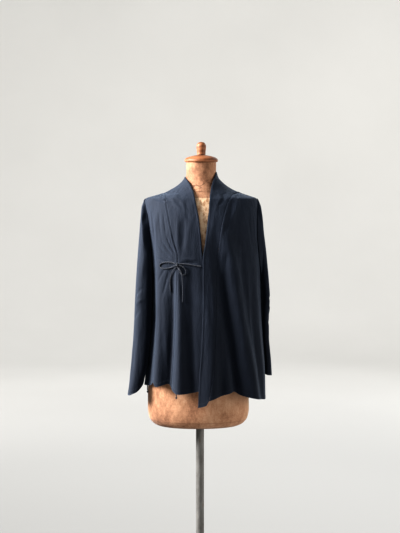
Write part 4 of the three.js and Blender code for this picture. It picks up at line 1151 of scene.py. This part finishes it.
def torso():
    """The covered torso: ovals whose reach and depths follow a table, with shallow dents, closed by discs."""
    body = np.linspace(FORM_TOP, FORM_RIM, FORM_RINGS)
    rim = np.linspace(FORM_RIM - RIM_STEP, FORM_BOTTOM, RIM_RINGS)
    z = np.concatenate([[FORM_TOP], body, rim, [FORM_BOTTOM]])
    around = np.radians(np.linspace(0, 360, FORM_POINTS, endpoint=False))
    z, around = np.meshgrid(z, around, indexing="ij")
    at = {key: smooth(FORM, "z", key, z) for key in ("side", "front", "back", "pointed")}
    s, c = np.sin(around), np.cos(around)
    deep = np.where(c > 0, at["front"], at["back"])
    dents = 0.5 * np.sin(3 * around + z / 31) + 0.35 * np.sin(5 * around - z / 17 + 1)
    dents = dents + 0.25 * np.sin(9 * around + z / 23)
    shrink = 1 - (1.1 + dents) * DENT_DEPTH / MEAN_REACH
    shrink[[0, -1]] = PINCHED
    x = lean_at(z) + at["side"] * s * shrink
    y = -deep * np.sign(c) * np.abs(c) ** at["pointed"] * shrink
    return closed_surface("torso_cover", np.stack([x, y, z], -1), linen, FORM_SHARP)


def turned(name, profile, finish, segments, roundings, centre=(0, 0, 0)):
    """A turned piece: a profile of radius and height, rounded by corner cutting, carried round an axis."""
    line = np.array(profile, float)
    for _ in range(roundings):
        starts, ends = line[:-1], line[1:]
        near = starts * (1 - CORNER_CUT) + ends * CORNER_CUT
        far = starts * CORNER_CUT + ends * (1 - CORNER_CUT)
        inner = np.stack([near, far], 1).reshape(-1, 2)
        line = np.concatenate([line[:1], inner[1:-1], line[-1:]])
    around = 2 * np.pi * np.arange(segments) / segments
    radius, height = line[::-1, :1], line[::-1, 1:]
    rings = np.stack(np.broadcast_arrays(radius * np.cos(around), radius * np.sin(around), height), -1)
    return closed_surface(name, rings + np.array(centre), finish, TURNED_SHARP)


# --------------------------------------------------------------------------------------------- putting it up
cord_pieces = {name: cord_piece(name) for name in ROUTES}
knots = {name: knot_piece(name, place, radius=3, stretch=1.1) for name, place in HEM_KNOTS.items()}
knots["tie_knot"] = knot_piece("tie_knot", TIE_KNOT, radius=4.6, stretch=1.15)

pieces = {
    "back": back_panel("back_cloth", columns=150),
    "right_front": front_panel("right_front_cloth", "right", RIGHT_SEAM, columns=84),
    "left_front": front_panel("left_front_cloth", "left", LEFT_SEAM, columns=84),
    "right_band": band("right_band_cloth", "right", RIGHT_EDGE, RIGHT_SEAM, columns=64, neck_columns=34),
    "left_band": band("left_band_cloth", "band", LEFT_EDGE, LEFT_SEAM, columns=30, neck_columns=34),
    "right_sleeve": wall("right_sleeve_cloth", [Tube(SLEEVES["right"], rings=220, points=120)]),
    "left_sleeve": wall("left_sleeve_cloth", [Tube(SLEEVES["left"], rings=200, points=120)]),
    "form_torso": torso(),
}
cap_z = FORM_TOP + NEAR_SEAT
finial_z = cap_z + CAP[-1][1] + NEAR_SEAT
lean = lean_at(cap_z)
pieces["neck_cap"] = turned("neck_cap_turned", CAP, wood, segments=96, roundings=4, centre=(lean, 0, cap_z))
pieces["finial"] = turned("finial_turned", FINIAL, wood, segments=72, roundings=4, centre=(lean, 0, finial_z))

pole_bottom, pole_top = SOCKET_FLOOR + NEAR_SEAT, FORM_BOTTOM - NEAR_SEAT
pole_end = POLE_RADIUS - POLE_CHAMFER
POLE = [(0, pole_bottom), (pole_end, pole_bottom), (POLE_RADIUS, pole_bottom + POLE_CHAMFER)]
POLE += [(POLE_RADIUS, pole_top - POLE_CHAMFER), (pole_end, pole_top), (0, pole_top)]
pieces["pole"] = turned("pole_tube", POLE, steel, segments=72, roundings=0)

bore = POLE_RADIUS + NEAR_SEAT
FOOT = [
    (0, 0), (FOOT_RADIUS - 2, 0), (FOOT_RADIUS, 2), (FOOT_RADIUS, FOOT_EDGE - 4),
    (FOOT_RADIUS - 4, FOOT_EDGE), (FOOT_RADIUS * 0.6, FOOT_EDGE + 4), (HUB_RADIUS + 16, FOOT_EDGE + 10),
    (HUB_RADIUS + 4, FOOT_EDGE + 22), (HUB_RADIUS, FOOT_EDGE + 34), (HUB_RADIUS, HUB_TOP), (bore, HUB_TOP),
    (bore, SOCKET_FLOOR), (0, SOCKET_FLOOR),
]
pieces["foot"] = turned("foot_casting", FOOT, iron, segments=96, roundings=2)
pieces.update(knots)
pieces.update({name: piece for name, (piece, _) in cord_pieces.items()})

for node, piece in pieces.items():
    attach(piece, "root")
    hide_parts(node)

for name, (piece, line) in cord_pieces.items():
    hanging = name.startswith("hem") or "end" in name
    facts = {"far_end": "bare" if "end" in name else "object", "with_pieces": []}
    if name == "tie_lead":
        facts = {"far_end": "object", "with_pieces": [knots["tie_knot"]]}
    if name.startswith("hem"):
        facts = {"far_end": "knot", "with_pieces": [knots[name + "_knot"]]}
    tuple(line[0])
    round(float(along_rows(line[None])[0, -1]), 4)


FLOOR_REACH, COVE, WALL_HEIGHT = 6, 2.5, 6.0  # metres


def backdrop():
    """A round room: a floor that curves up into a wall all round, far behind every view's camera."""
    turned_up = np.radians(np.arange(10, 91, 10))
    reach = np.array([0, 2, 4, FLOOR_REACH, *(FLOOR_REACH + COVE * np.sin(turned_up)), FLOOR_REACH + COVE])
    rise = np.array([0, 0, 0, 0, *(COVE - COVE * np.cos(turned_up)), WALL_HEIGHT])
    reach, rise = reach[:, None], rise[:, None]
    around = 2 * np.pi * np.arange(96) / 96
    rings = np.stack(np.broadcast_arrays(reach * np.cos(around), reach * np.sin(around), rise), -1)
    faces = ring_faces(*rings.shape[:2])
    return make_mesh("floor", rings.reshape(-1, 3) / MM, faces.tolist(), plaster)


backdrop()
